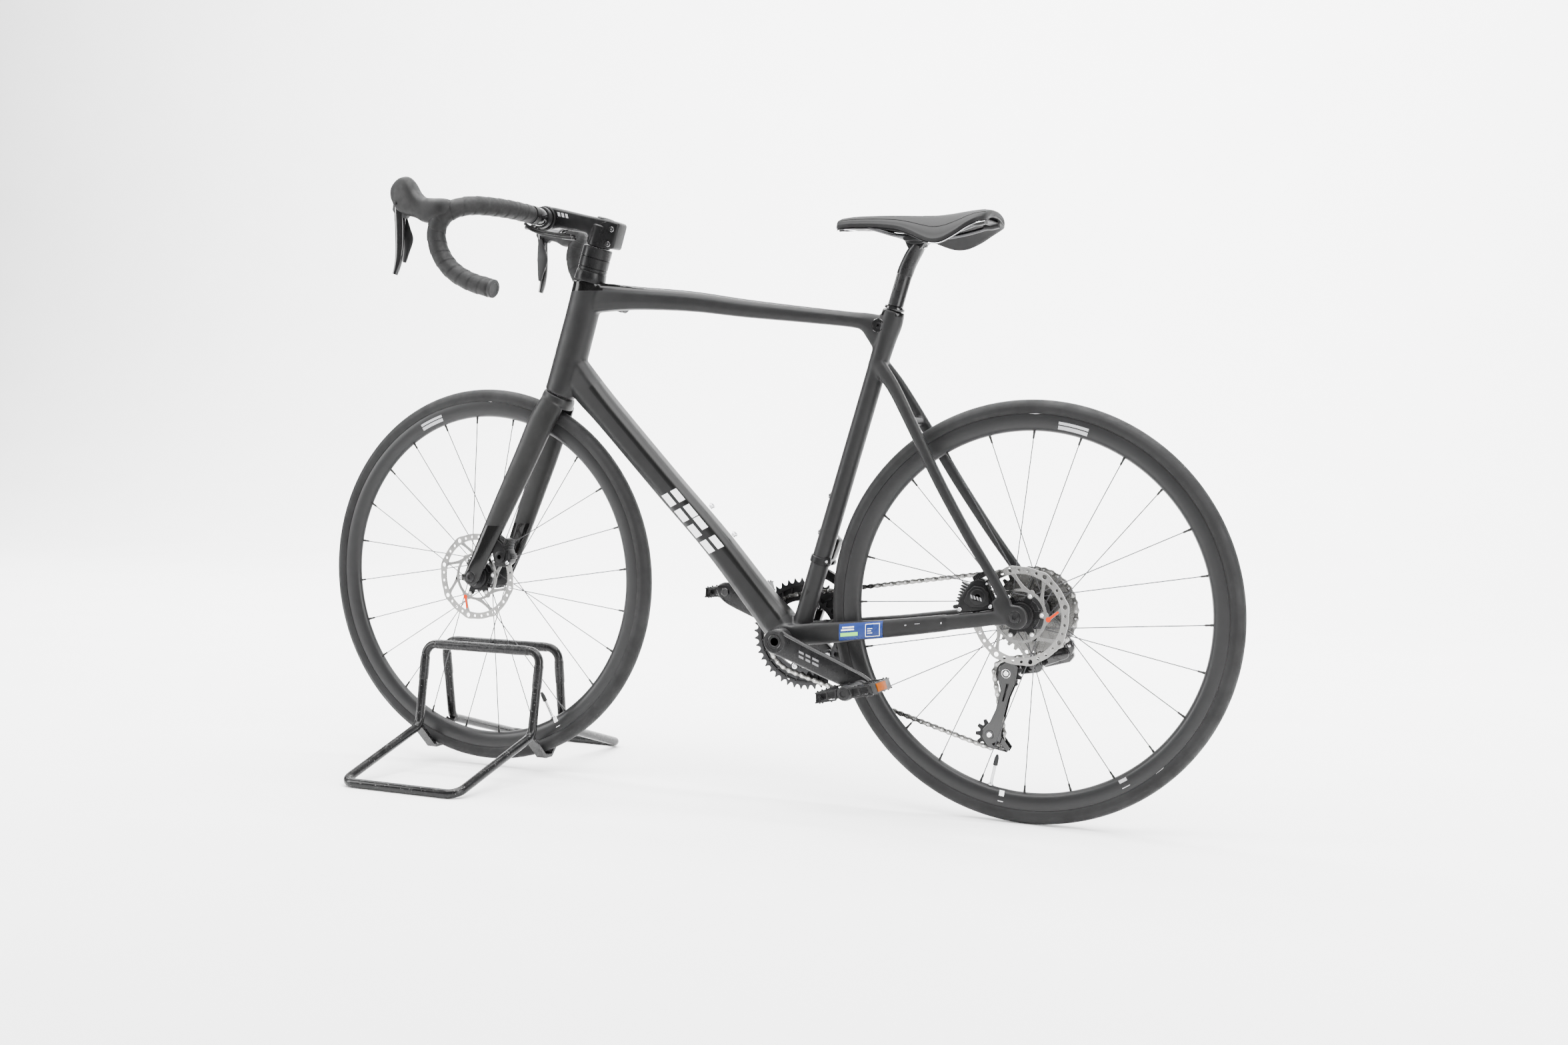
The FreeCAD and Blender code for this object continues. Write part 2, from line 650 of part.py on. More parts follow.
def chainring_outer():
    ring = chainring(OUTER_RING_TEETH, OUTER_RING_Y, 60.0)
    tabs = [disc(*polar(BB_X, BB_Z, 57, a, 0)[::2], OUTER_RING_Y - 0.9, OUTER_RING_Y + 0.9, 8) for a in arm_angles()]
    return fuse([ring] + tabs)


def chainring_inner():
    teeth = toothed(BB_X, BB_Z, RING_Y, INNER_RING_TEETH, 0.55, 58.0)
    web = disc(BB_X, BB_Z, RING_Y - 0.9, RING_Y + 0.9, pitch_radius(INNER_RING_TEETH) - 6.5)
    ring = teeth.fuse(web.cut(disc(BB_X, BB_Z, RING_Y - 2, RING_Y + 2, 58.0)))
    tabs = [disc(*polar(BB_X, BB_Z, 56, a, 0)[::2], RING_Y - 0.9, RING_Y + 0.9, 7) for a in arm_angles()]
    return fuse([ring] + tabs)


def arm_angles():
    base = math.radians(180) - CRANK_DROP
    return [base + math.radians(a) for a in (-140, -40, 55, 125)]


def crank_end(side):
    direction = -1 if side > 0 else 1
    x = BB_X + direction * CRANK_LENGTH * math.cos(CRANK_DROP)
    z = BB_Z - side * CRANK_LENGTH * math.sin(CRANK_DROP)
    return x, z


def crank_left():
    x, z = crank_end(1)
    arm = link(BB_X, BB_Z, 22.0, x, z, 15.5, 62, 76)
    boss = disc(BB_X, BB_Z, 48, 77, 21.0)
    bearing_face = disc(BB_X, BB_Z, 39.0, 50, 14.0)
    whole = fuse([arm, boss, bearing_face]).cut(disc(BB_X, BB_Z, 36, 70, 12.0)).cut(disc(BB_X, BB_Z, 68, 79, 9.0))
    return fuse([whole, disc(x, z, 70, 92, 4.7)])


def crank_right():
    x, z = crank_end(-1)
    arm = link(BB_X, BB_Z, 22.0, x, z, 15.5, -76, -62)
    parts = [arm, disc(BB_X, BB_Z, -77, -39.0, 21.0), disc(BB_X, BB_Z, -40, 69.8, 12.0), disc(x, z, -92, -70, 4.7)]
    for a in arm_angles():
        tip_x, _, tip_z = polar(BB_X, BB_Z, 57, a, 0)
        parts.append(link(BB_X, BB_Z, 15.0, tip_x, tip_z, 7.5, -64, -50.1))
        parts.append(disc(tip_x, tip_z, -51, -41.9, 6.5))
    whole = fuse(parts)
    keep_out = washer(BB_X, BB_Z, -49.9, -48.1, 110, 30).fuse(washer(BB_X, BB_Z, -41.9, -38, 110, 30))
    return largest(whole.cut(keep_out))


def pedal(side):
    x, z = crank_end(side)
    y0, y1 = (79, 165) if side > 0 else (-165, -79)
    rails = [
        prism([(x - 50, z - 9), (x - 46, z + 9), (x - 38, z + 9), (x - 36, z - 9)], y0, y1),
        prism([(x + 50, z - 9), (x + 46, z + 9), (x + 38, z + 9), (x + 36, z - 9)], y0, y1),
    ]
    for y in (y0, y1 - 5):
        rails.append(prism([(x - 46, z - 8), (x - 46, z + 7), (x + 46, z + 7), (x + 46, z - 8)], y, y + 5))
    rails.append(disc(x, z, y0, y1, 11.0))
    rails.append(prism([(x - 44, z - 4), (x - 44, z + 4), (x + 44, z + 4), (x + 44, z - 4)], (y0 + y1) / 2 - 14, (y0 + y1) / 2 + 14))
    body = fuse(rails).cut(disc(x, z, min(side * 79, side * 93) - 1, max(side * 79, side * 93), 4.75))
    body.rotate(vec(x, 0, z), vec(0, 1, 0), 12 if side > 0 else 6)
    return body


def travel_line(a, b):
    """Common tangent between two wrapped circles of (x, z, radius, turn)."""
    dx, dz = b[0] - a[0], b[1] - a[1]
    k = b[2] * b[3] - a[2] * a[3]
    run = math.sqrt(dx * dx + dz * dz - k * k)
    angle = math.atan2(dz, dx) - math.atan2(k, run)
    nx, nz = -math.sin(angle), math.cos(angle)
    start = (a[0] - a[2] * a[3] * nx, a[1] - a[2] * a[3] * nz)
    end = (b[0] - b[2] * b[3] * nx, b[1] - b[2] * b[3] * nz)
    return start, end


def chain():
    wraps = [
        (REAR_X, REAR_Z, pitch_radius(COGS[0]), 1, COG_Y), (GUIDE_X, GUIDE_Z, pitch_radius(PULLEY_TEETH), -1, COG_Y),
        (TENSION_X, TENSION_Z, pitch_radius(PULLEY_TEETH), 1, COG_Y), (BB_X, BB_Z, pitch_radius(INNER_RING_TEETH), 1, RING_Y),
    ]
    lines = [travel_line(wraps[i], wraps[(i + 1) % 4]) for i in range(4)]
    ribbons = []
    for side in (1, -1):
        pieces = []
        for i, wrap in enumerate(wraps):
            arrive = lines[i - 1][1]
            leave = lines[i][0]
            pieces.append(wrap_plate(wrap, arrive, leave, side))
            pieces.append(run_plate(lines[i], wrap[4], wraps[(i + 1) % 4][4], side))
        ribbons.append(largest(fuse(pieces)))
    return Part.makeCompound(ribbons)


def wrap_plate(wrap, arrive, leave, side):
    x, z, radius, turn, y = wrap
    y0 = y + side * 1.75
    y1 = y + side * 2.75
    ring = washer(x, z, y0, y1, radius + 4.0, radius - 4.0)
    a0 = math.atan2(arrive[1] - z, arrive[0] - x)
    a1 = math.atan2(leave[1] - z, leave[0] - x)
    span = (a1 - a0) * turn % (2 * math.pi)
    outline = [(x, z)]
    for i in range(13):
        a = a0 + turn * span * i / 12
        outline.append((x + 2.0 * radius * math.cos(a), z + 2.0 * radius * math.sin(a)))
    return ring.common(prism(outline, min(y0, y1) - 1, max(y0, y1) + 1))


def run_plate(line, y_start, y_end, side):
    (x0, z0), (x1, z1) = line
    length = math.hypot(x1 - x0, z1 - z0)
    nx, nz = -(z1 - z0) / length * 4.0, (x1 - x0) / length * 4.0
    ends = []
    for x, z, y in ((x0, z0, y_start + side * 1.75), (x1, z1, y_end + side * 1.75)):
        corners = [vec(x + nx, y, z + nz), vec(x - nx, y, z - nz), vec(x - nx, y + side, z - nz), vec(x + nx, y + side, z + nz)]
        ends.append(Part.makePolygon(corners + corners[:1]))
    return Part.makeLoft(ends, True, True)


def front_derailleur():
    z = 407.0
    band = rod(seat_point(z - 8), seat_point(z + 8), 19.0).cut(rod(seat_point(z - 20), seat_point(z + 20), 16.0))
    x, _, _ = seat_point(z)
    block = prism([(x - 4, 396), (x + 12, 392), (x + 6, 440), (x - 14, 452), (x - 26, 440), (x - 14, 410)], -38, -17)
    outer_plate = prism(cage_outline(), -54.4, -53.0)
    inner_plate = prism(cage_outline(), -46.0, -44.8)
    bridge = prism([(-121.3, 394.4), (-145.6, 387.4), (-144.1, 383.7), (-120.6, 390.5)], -54, -45)
    arm = prism([(-150, 398), (-124, 400), (-122, 390), (-148, 384)], -46, -30)
    whole = fuse([band, block, outer_plate, inner_plate, bridge, arm])
    whole = whole.cut(rod(seat_point(300), seat_point(500), 16.0))
    return largest(whole)


def cage_outline():
    points = []
    for i in range(9):
        a = math.radians(90 + i * 6)
        points.append((BB_X + 100 * math.cos(a), BB_Z + 100 * math.sin(a)))
    for i in range(9):
        a = math.radians(138 - i * 6)
        points.append((BB_X + 121 * math.cos(a), BB_Z + 121 * math.sin(a)))
    return points


def rear_derailleur():
    parts = [
        disc(-521, 306, -93, -79.3, 10.0), link(-521, 306, 9.0, -550, 272, 13.0, -96, -82),
        link(-550, 266, 14.0, -500, 247, 13.0, -99, -76), link(-506, 246, 13.0, -474, 240, 12.5, -80, -60),
        disc(-474, 240, -66, -39.5, 12.5), disc(-474, 240, -40, -34.2, 5.0),
    ]
    return fuse(parts)


def cage_plate(y0, y1):
    outline = [
        (-489, 248), (-481, 255), (-468, 255), (-457, 245), (-454, 228), (-458, 208), (-450, 172), (-438, 150),
        (-430, 138), (-430, 124), (-440, 112), (-474, 107), (-478, 114), (-464, 132), (-462, 160), (-474, 206), (-490, 230),
    ]
    return prism(outline, y0, y1)


def derailleur_cage():
    outer = cage_plate(-34.0, -32.2)
    inner = cage_plate(-21.8, -20.2)
    boss = disc(-474, 240, -39.2, -33.0, 11.0)
    bolts = [disc(GUIDE_X, GUIDE_Z, -33, -21, 4.0), disc(TENSION_X, TENSION_Z, -33, -21, 4.0)]
    whole = fuse([outer, inner, boss] + bolts)
    window = prism([(-466, 116), (-452, 115), (-450, 122), (-460, 126)], -50, 0)
    return whole.cut(disc(-474, 240, -50, -32.0, 5.05)).cut(window)


def pulley(x, z):
    return toothed(x, z, COG_Y, PULLEY_TEETH, 1.1, 4.05)


# Seat
def seatpost():
    shaft = rod(seat_point(640), seat_point(900), SEATPOST_R)
    head = member([(-297, 0, 893, 12, 12.5), (-303, 0, 904, 13, 13), (-312, 0, 914, 12, 14), (-318, 0, 923, 10, 16)], 2.4)
    return fuse([shaft, head])


def saddle_clamp():
    lower = prism([(-338, 934), (-298, 934), (-300, 926), (-336, 926)], -27, 27)
    upper = prism([(-336, 948), (-300, 948), (-298, 938), (-338, 938)], -27, 27)
    bolt = rod((-318, 0, 934), (-318, 0, 952), 4.0)
    pillar = prism([(-326, 940), (-310, 940), (-310, 932), (-326, 932)], -17, 17)
    body = fuse([lower, upper, bolt, pillar])
    return body.cut(rail_solids()).cut(seatpost())


def rail_path():
    return [
        (-192, 10, 960), (-212, 16, 955), (-245, 22, 944), (-275, 22.5, 939.5), (-318, 22.5, 938.5),
        (-360, 23, 940), (-392, 26, 945), (-418, 30, 952), (-433, 33, 956),
    ]


def rail_solids():
    rail = sweep(curve_path(rail_path()), 3.5)
    return Part.makeCompound([rail, mirrored(rail)])


def arch(x, half, top, drop, upper, lower):
    """Closed saddle section between two depths below its top skin."""
    rows = []
    for depth in (upper, lower):
        points = []
        for i in range(9):
            t = (i - 4) / 4.0
            points.append(vec(x, half * t, top - drop * abs(t) ** 2.6 - depth))
        curve = Part.BSplineCurve()
        curve.interpolate(points)
        rows.append((curve.toShape(), points))
    left = Part.makeLine(rows[0][1][-1], rows[1][1][-1])
    right = Part.makeLine(rows[1][1][0], rows[0][1][0])
    return Part.Wire([rows[0][0], left, rows[1][0], right])


def saddle_layer(upper, lower, inset):
    stations = [
        (-176, 8, 978, 7), (-186, 17, 979, 9), (-215, 21, 979.5, 10), (-255, 25, 978.5, 11), (-300, 36, 976, 14),
        (-335, 50, 975, 24), (-370, 63, 977, 36), (-405, 71, 980, 40), (-435, 71, 981, 30), (-452, 58, 979.5, 18),
    ]
    wires = [arch(x, half - inset, top, drop, upper, lower) for x, half, top, drop in stations]
    return Part.makeLoft(wires, True, False)


def saddle_pad():
    return saddle_layer(0.0, 9.0, 0.0)


def saddle_shell():
    shell = saddle_layer(9.02, 12.0, 2.0)
    sockets = [prism([(-212, 966), (-196, 966), (-196, 952), (-212, 952)], -17, 17)]
    for side in (1, -1):
        block = prism([(-440, 966), (-424, 964), (-424, 948), (-440, 950)], side * 33 - 7, side * 33 + 7)
        sockets.append(block)
    rails = rail_solids()
    hull = saddle_layer(0.0, 12.02, 0.0)
    return Part.makeCompound([shell] + [largest(block.cut(rails).cut(hull)) for block in sockets])


def nodes():
    loop_left = stand_loop(1)
    loop_right = stand_loop(-1)
    head = head_tube()
    top = top_tube()
    down = down_tube()
    seat = seat_tube()
    stays = chainstays([down, seat_tube_outer()])
    upper_stays = seatstays([seat_tube_outer(), top, stays])
    return {
        "stand_loop_left": loop_left,
        "stand_loop_right": loop_right,
        "stand_cradles": stand_cradles([loop_left, loop_right]),
        "stand_sleeves": stand_sleeves(),
        "fork": fork(),
        "headset_spacers": headset_spacers(),
        "stem": stem(),
        "stem_hardware": stem_hardware(),
        "handlebar": handlebar(),
        "bar_tape": bar_tape(),
        "bar_end_plugs": bar_end_plugs(),
        "lever_hoods": lever_hoods(),
        "brake_hoses": brake_hoses(),
        "front_caliper": front_caliper(),
        "front_thru_axle": front_thru_axle(),
        "brake_lever_left": brake_lever(),
        "brake_lever_right": mirrored(brake_lever()),
        "shift_paddle_left": shift_paddle(),
        "shift_paddle_right": mirrored(shift_paddle()),
        "front_tyre": tyre(FRONT_X, FRONT_Z),
        "front_rim": rim(FRONT_X, FRONT_Z),
        "front_spokes": spokes(FRONT_X, FRONT_Z, 24.0, -28.0, -2.5),
        "front_hub": front_hub(),
        "front_rotor": rotor(FRONT_X, FRONT_Z, 38.6, 14.5, 54.0),
        "front_valve": valve(FRONT_X, FRONT_Z, 270 - 27),
        "rear_tyre": tyre(REAR_X, REAR_Z),
        "rear_rim": rim(REAR_X, REAR_Z),
        "rear_spokes": spokes(REAR_X, REAR_Z, 34.0, -18.0, 2.0),
        "rear_hub": rear_hub(),
        "rear_rotor": rotor(REAR_X, REAR_Z, 51.3, 31.3, 56.0),
        "rear_valve": valve(REAR_X, REAR_Z, 270 + 12),
        "head_tube": head,
        "top_tube": top,
        "down_tube": down,
        "seat_tube": seat,
        "bottom_bracket_shell": bottom_bracket_shell(),
        "chainstays": stays,
        "seatstays": upper_stays,
        "frame_hardware": frame_hardware(),
        "seat_clamp": seat_clamp(),
        "front_derailleur": front_derailleur(),
        "rear_derailleur": rear_derailleur(),
        "rear_caliper": rear_caliper(stays, upper_stays),
        "rear_thru_axle": rear_thru_axle(),
        "chain": chain(),
        "seatpost": seatpost(),
        "saddle_clamp": saddle_clamp(),
        "saddle_rails": rail_solids(),
        "saddle_shell": saddle_shell(),
        "saddle_pad": saddle_pad(),
        "crank_left": crank_left(),
        "crank_right": crank_right(),
        "chainring_outer": chainring_outer(),
        "chainring_inner": chainring_inner(),
        "pedal_left": pedal(1),
        "pedal_right": pedal(-1),
        "cassette": cassette(),
        "derailleur_cage": derailleur_cage(),
        "guide_pulley": pulley(GUIDE_X, GUIDE_Z),
        "tension_pulley": pulley(TENSION_X, TENSION_Z),
    }


for name, shape in nodes().items():
    shape.exportStep(os.path.join("parts", name + ".step"))
    print(name, shape.isValid(), len(shape.Solids), round(shape.Volume))
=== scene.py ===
"""Looks of a road bicycle standing in a floor stand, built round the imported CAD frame."""
import math

import bpy
import bmesh
from mathutils import Matrix, Vector


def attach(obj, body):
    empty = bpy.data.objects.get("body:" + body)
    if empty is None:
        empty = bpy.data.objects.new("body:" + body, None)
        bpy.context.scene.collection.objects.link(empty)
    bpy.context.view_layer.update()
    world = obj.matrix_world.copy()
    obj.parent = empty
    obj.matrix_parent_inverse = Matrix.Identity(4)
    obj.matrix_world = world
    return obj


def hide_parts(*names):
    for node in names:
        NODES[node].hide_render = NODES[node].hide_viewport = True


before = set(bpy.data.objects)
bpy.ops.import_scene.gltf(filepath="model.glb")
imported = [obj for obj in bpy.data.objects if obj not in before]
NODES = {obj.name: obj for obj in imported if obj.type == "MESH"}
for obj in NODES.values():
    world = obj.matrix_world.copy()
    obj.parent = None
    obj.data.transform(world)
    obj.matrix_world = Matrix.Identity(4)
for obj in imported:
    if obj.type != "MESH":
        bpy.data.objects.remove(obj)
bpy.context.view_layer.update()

# Driving sizes, in millimetres in the row frame; a pair is (x, z)
MM = 0.001
REAR = (-513.0, 339.0)
FRONT = (513.0, 352.6)
TYRE_R = 339.0
SECTION_R = 14.0
RIM_OUTER = 316.5
RIM_INNER = 289.0
RIM_HALF = 11.0
SPOKES = 24
SCALLOPS = 8
ROTOR_TABS = 6
BB = (-100.3, 275.3)
CRANK = 172.5
SPIDER_R = 57
BIG_RING, SMALL_RING = 46, 34
COGS = (34, 30, 27, 24, 21, 19, 17)
COG_STEP = 3.74
PULLEY_TEETH = 11
DROP = math.radians(21.3)
PITCH = 12.7
LEAN = 0.3023
STEER_FOOT = 460.8
SEAT_FOOT = (-110.0, 275.0)
DOWN_X, DOWN_Z = 0.695, 0.719
CLAMP_X, CLAMP_Z = 380.5, 993.8
BAR_Y = 222.0
POST_R = 12.7
PEDAL_Y = (79.0, 165.0)
STAND_TUBE_R = 8.0
STAND_BEND_R = 22.0
STAND_TOP = {"rear": -130, "front": 117, "y": 30, "z": 222}
STAND_KNEE = {"rear": -126, "front": 118, "y": 52, "z": 72.5}
COG_Y = -27.0
RING_Y = -41.0
OUTER_Y = -49.0
GUIDE = (-469.4, 235.9)
TENSION = (-442.9, 133.9)
AXIS = Vector((-0.28937, 0.0, 0.95722))
ACROSS = Vector((0.95722, 0.0, 0.28937))
Y = Vector((0.0, 1.0, 0.0))


# Mesh helpers
def new_mesh(name, verts, faces, sharp=35.0):
    mesh = bpy.data.meshes.new(name)
    mesh.from_pydata([Vector(v) * MM for v in verts], [], faces)
    mesh.validate()
    bm = bmesh.new()
    bm.from_mesh(mesh)
    bmesh.ops.recalc_face_normals(bm, faces=bm.faces)
    bm.to_mesh(mesh)
    bm.free()
    obj = bpy.data.objects.new(name, mesh)
    bpy.context.scene.collection.objects.link(obj)
    smooth(obj, sharp)
    return obj


def smooth(obj, sharp=35.0):
    mesh = obj.data
    mesh.polygons.foreach_set("use_smooth", [True] * len(mesh.polygons))
    mesh.set_sharp_from_angle(angle=math.radians(sharp))


def ring_faces(count, sides, closed):
    faces = []
    for i in range(count if closed else count - 1):
        a, b = i * sides, ((i + 1) % count) * sides
        for j in range(sides):
            k = (j + 1) % sides
            faces.append((a + j, a + k, b + k, b + j))
    if not closed:
        faces.append(tuple(range(sides))[::-1])
        faces.append(tuple((count - 1) * sides + j for j in range(sides)))
    return faces


def skin(name, rings, closed=False, sharp=35.0):
    """Surface through rings with equal counts of points, capped at both ends unless it closes on itself."""
    verts = [p for ring in rings for p in ring]
    return new_mesh(name, verts, ring_faces(len(rings), len(rings[0]), closed), sharp)


def revolve(name, outline, centre, steps=128, sharp=35.0):
    """Turn a closed (radius, y) outline about the wheel axis."""
    rings = []
    for i in range(steps):
        a = 2 * math.pi * i / steps
        c, s = math.cos(a), math.sin(a)
        rings.append([(centre[0] + r * c, y, centre[1] + r * s) for r, y in outline])
    return skin(name, rings, closed=True, sharp=sharp)


def circle(centre, u, v, radius, sides):
    """Even points round a circle in the plane of u and v."""
    ring = []
    for i in range(sides):
        a = 2 * math.pi * i / sides
        ring.append(centre + (u * math.cos(a) + v * math.sin(a)) * radius)
    return ring


def lathe(name, profile, start, axis, steps):
    """Turn an open (distance along axis, radius) profile about an axis, closing both ends."""
    axis = Vector(axis).normalized()
    u = axis.orthogonal().normalized()
    v = axis.cross(u)
    rings = []
    for d, r in profile:
        rings.append(circle(Vector(start) + axis * d, u, v, max(r, 0.01), steps))
    return skin(name, rings)


def frames(points):
    """Tangent, side and up at each point of a path, with side kept as level as it can be."""
    result = []
    side = None
    for i in range(len(points)):
        t = (Vector(points[min(i + 1, len(points) - 1)]) - Vector(points[max(i - 1, 0)])).normalized()
        if side is None:
            side = Y - t * t.y
            if side.length < 0.2:
                side = Vector((0, 0, 1)) - t * t.z
        side = (side - t * side.dot(t)).normalized()
        result.append((t, side, t.cross(side)))
    return result


def tube(name, points, radius, sides=16):
    rings = []
    for i, (p, (_, side, up)) in enumerate(zip(points, frames(points))):
        rings.append(circle(Vector(p), side, up, radius(i) if callable(radius) else radius, sides))
    return skin(name, rings)


def catmull(a, b, c, d, t):
    """Point between b and c, for numbers or vectors."""
    return 0.5 * (
        2 * b + (c - a) * t + (2 * a - 5 * b + 4 * c - d) * t * t + (3 * b - a - 3 * c + d) * t ** 3
    )


def spline(points, per):
    """Catmull-Rom curve through a list of points."""
    pts = [Vector(p) for p in points]
    pts = [pts[0] * 2 - pts[1]] + pts + [pts[-1] * 2 - pts[-2]]
    out = []
    for i in range(1, len(pts) - 2):
        a, b, c, d = pts[i - 1:i + 3]
        for k in range(per):
            t = k / per
            out.append(catmull(a, b, c, d, t))
    out.append(pts[-2])
    return out


def blended(stations, per=6):
    """Catmull-Rom through stations whose entries are plain numbers."""
    rows = [list(s) for s in stations]
    rows = [[2 * a - b for a, b in zip(rows[0], rows[1])]] + rows + [[
        2 * a - b for a, b in zip(rows[-1], rows[-2])
    ]]
    out = []
    for i in range(1, len(rows) - 2):
        for k in range(per):
            t = k / per
            row = []
            for a, b, c, d in zip(*rows[i - 1:i + 3]):
                row.append(catmull(a, b, c, d, t))
            out.append(row)
    out.append(rows[-2])
    return out


def superoval(power, sides=32):
    """Unit section between a circle (power 2) and a rounded box."""
    shape = []
    for i in range(sides):
        a = 2 * math.pi * i / sides
        c, s = math.cos(a), math.sin(a)
        shape.append((math.copysign(abs(c) ** (2 / power), c), math.copysign(abs(s) ** (2 / power), s)))
    return shape


def member(name, stations, shape, per=6, upright=False, sharp=35.0):
    """Loft of a unit section through (x, y, z, half up, half side) stations."""
    rows = blended(stations, per)
    points = [Vector(r[:3]) for r in rows]
    rings = []
    for i, row in enumerate(rows):
        if upright:
            side, up = Y, Vector((0, 0, 1))
        else:
            t = (points[min(i + 1, len(points) - 1)] - points[max(i - 1, 0)]).normalized()
            side = (Y - t * t.y).normalized()
            up = t.cross(side)
        rings.append([points[i] + up * (a * row[3]) + side * (b * row[4]) for a, b in shape])
    return skin(name, rings, sharp=sharp)


def plate(name, outline, y0, y1, bevel, segments=2):
    """Extrude an (x, z) outline between two y planes and round its edges."""
    n = len(outline)
    verts = [(x, y0, z) for x, z in outline] + [(x, y1, z) for x, z in outline]
    faces = [tuple(range(n)), tuple(range(2 * n - 1, n - 1, -1))]
    faces += [(i, (i + 1) % n, n + (i + 1) % n, n + i) for i in range(n)]
    obj = new_mesh(name, verts, faces)
    if bevel:
        rounded(obj, bevel, segments)
    return obj


def rounded(obj, width, segments=2, angle=40.0):
    mod = obj.modifiers.new("edges", "BEVEL")
    mod.width = width * MM
    mod.segments = segments
    mod.limit_method = "ANGLE"
    mod.angle_limit = math.radians(angle)
    mod.harden_normals = False
    return obj


def apply_modifiers(obj):
    depsgraph = bpy.context.evaluated_depsgraph_get()
    bpy.context.view_layer.update()
    mesh = bpy.data.meshes.new_from_object(obj.evaluated_get(depsgraph))
    obj.modifiers.clear()
    obj.data = mesh
    return obj


def join(name, objs, sharp=None):
    """One object holding the finished meshes of several."""
    for o in objs:
        if o.modifiers:
            apply_modifiers(o)
    bm = bmesh.new()
    for o in objs:
        bm.from_mesh(o.data)
    mesh = bpy.data.meshes.new(name)
    bm.to_mesh(mesh)
    bm.free()
    obj = bpy.data.objects.new(name, mesh)
    bpy.context.scene.collection.objects.link(obj)
    for o in objs:
        bpy.data.objects.remove(o)
    if sharp:
        smooth(obj, sharp)
    return obj


def mirrored(obj, name):
    """Copy for the other side of the bicycle."""
    copy = obj.copy()
    copy.data = obj.data.copy()
    copy.name = name
    bpy.context.scene.collection.objects.link(copy)
    copy.data.transform(Matrix.Scale(-1, 4, Y))
    copy.data.flip_normals()
    return copy


def remeshed(obj, voxel, passes):
    """Melt overlapping tubes into one skin with soft joints."""
    mod = obj.modifiers.new("solid", "REMESH")
    mod.mode = "VOXEL"
    mod.voxel_size = voxel * MM
    mod.use_smooth_shade = True
    relax = obj.modifiers.new("relax", "SMOOTH")
    relax.factor = 0.5
    relax.iterations = passes
    apply_modifiers(obj)
    smooth(obj, 50.0)


def carve(obj, cutter, solver="EXACT"):
    """Cut one object out of another and remove the cutter."""
    cut = obj.modifiers.new("cut", "BOOLEAN")
    cut.object = cutter
    cut.operation = "DIFFERENCE"
    cut.solver = solver
    apply_modifiers(obj)
    bpy.data.objects.remove(cutter)


def rename(obj, name):
    obj.name = name
    return obj


def place(obj, body, material, slot, *nodes):
    """Give a piece its material and its body, and hide the CAD nodes that it stands for; the slot is not
    used.
    """
    obj.data.materials.clear()
    obj.data.materials.append(material)
    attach(obj, body)
    if nodes:
        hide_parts(*nodes)


def fit(name, parts, body, material, slot, *nodes, sharp=40):
    """Join several meshes into one piece and place it."""
    place(join(name, parts, sharp), body, material, slot, *nodes)


def polar(centre, radius, angle):
    return centre[0] + radius * math.cos(angle), centre[1] + radius * math.sin(angle)


def steer(z, forward=0.0):
    """Point on the steering axis at a height, or a little in front of it."""
    return Vector((STEER_FOOT - (z - FRONT[1]) * LEAN + forward, 0.0, z))


def seat(z, forward=0.0):
    """Point on the seat tube's axis at a height, or a little in front of it."""
    return Vector((SEAT_FOOT[0] - (z - SEAT_FOOT[1]) * LEAN + forward, 0.0, z))


def box(x0, z0, x1, z1):
    return [(x0, z0), (x1, z0), (x1, z1), (x0, z1)]


def arc(cx, cz, r, a0, a1, steps):
    return [polar((cx, cz), r, math.radians(a0 + (a1 - a0) * i / steps)) for i in range(steps + 1)]


def capsule(a, ra, b, rb, steps=14):
    """Outline of a bar with round ends of two sizes."""
    gap = math.hypot(b[0] - a[0], b[1] - a[1])
    along = math.degrees(math.atan2(b[1] - a[1], b[0] - a[0]))
    spread = math.degrees(math.acos((ra - rb) / gap))
    return arc(
        a[0], a[1], ra, along + spread, along + 360 - spread, steps
    ) + arc(b[0], b[1], rb, along - spread, along + spread, steps)


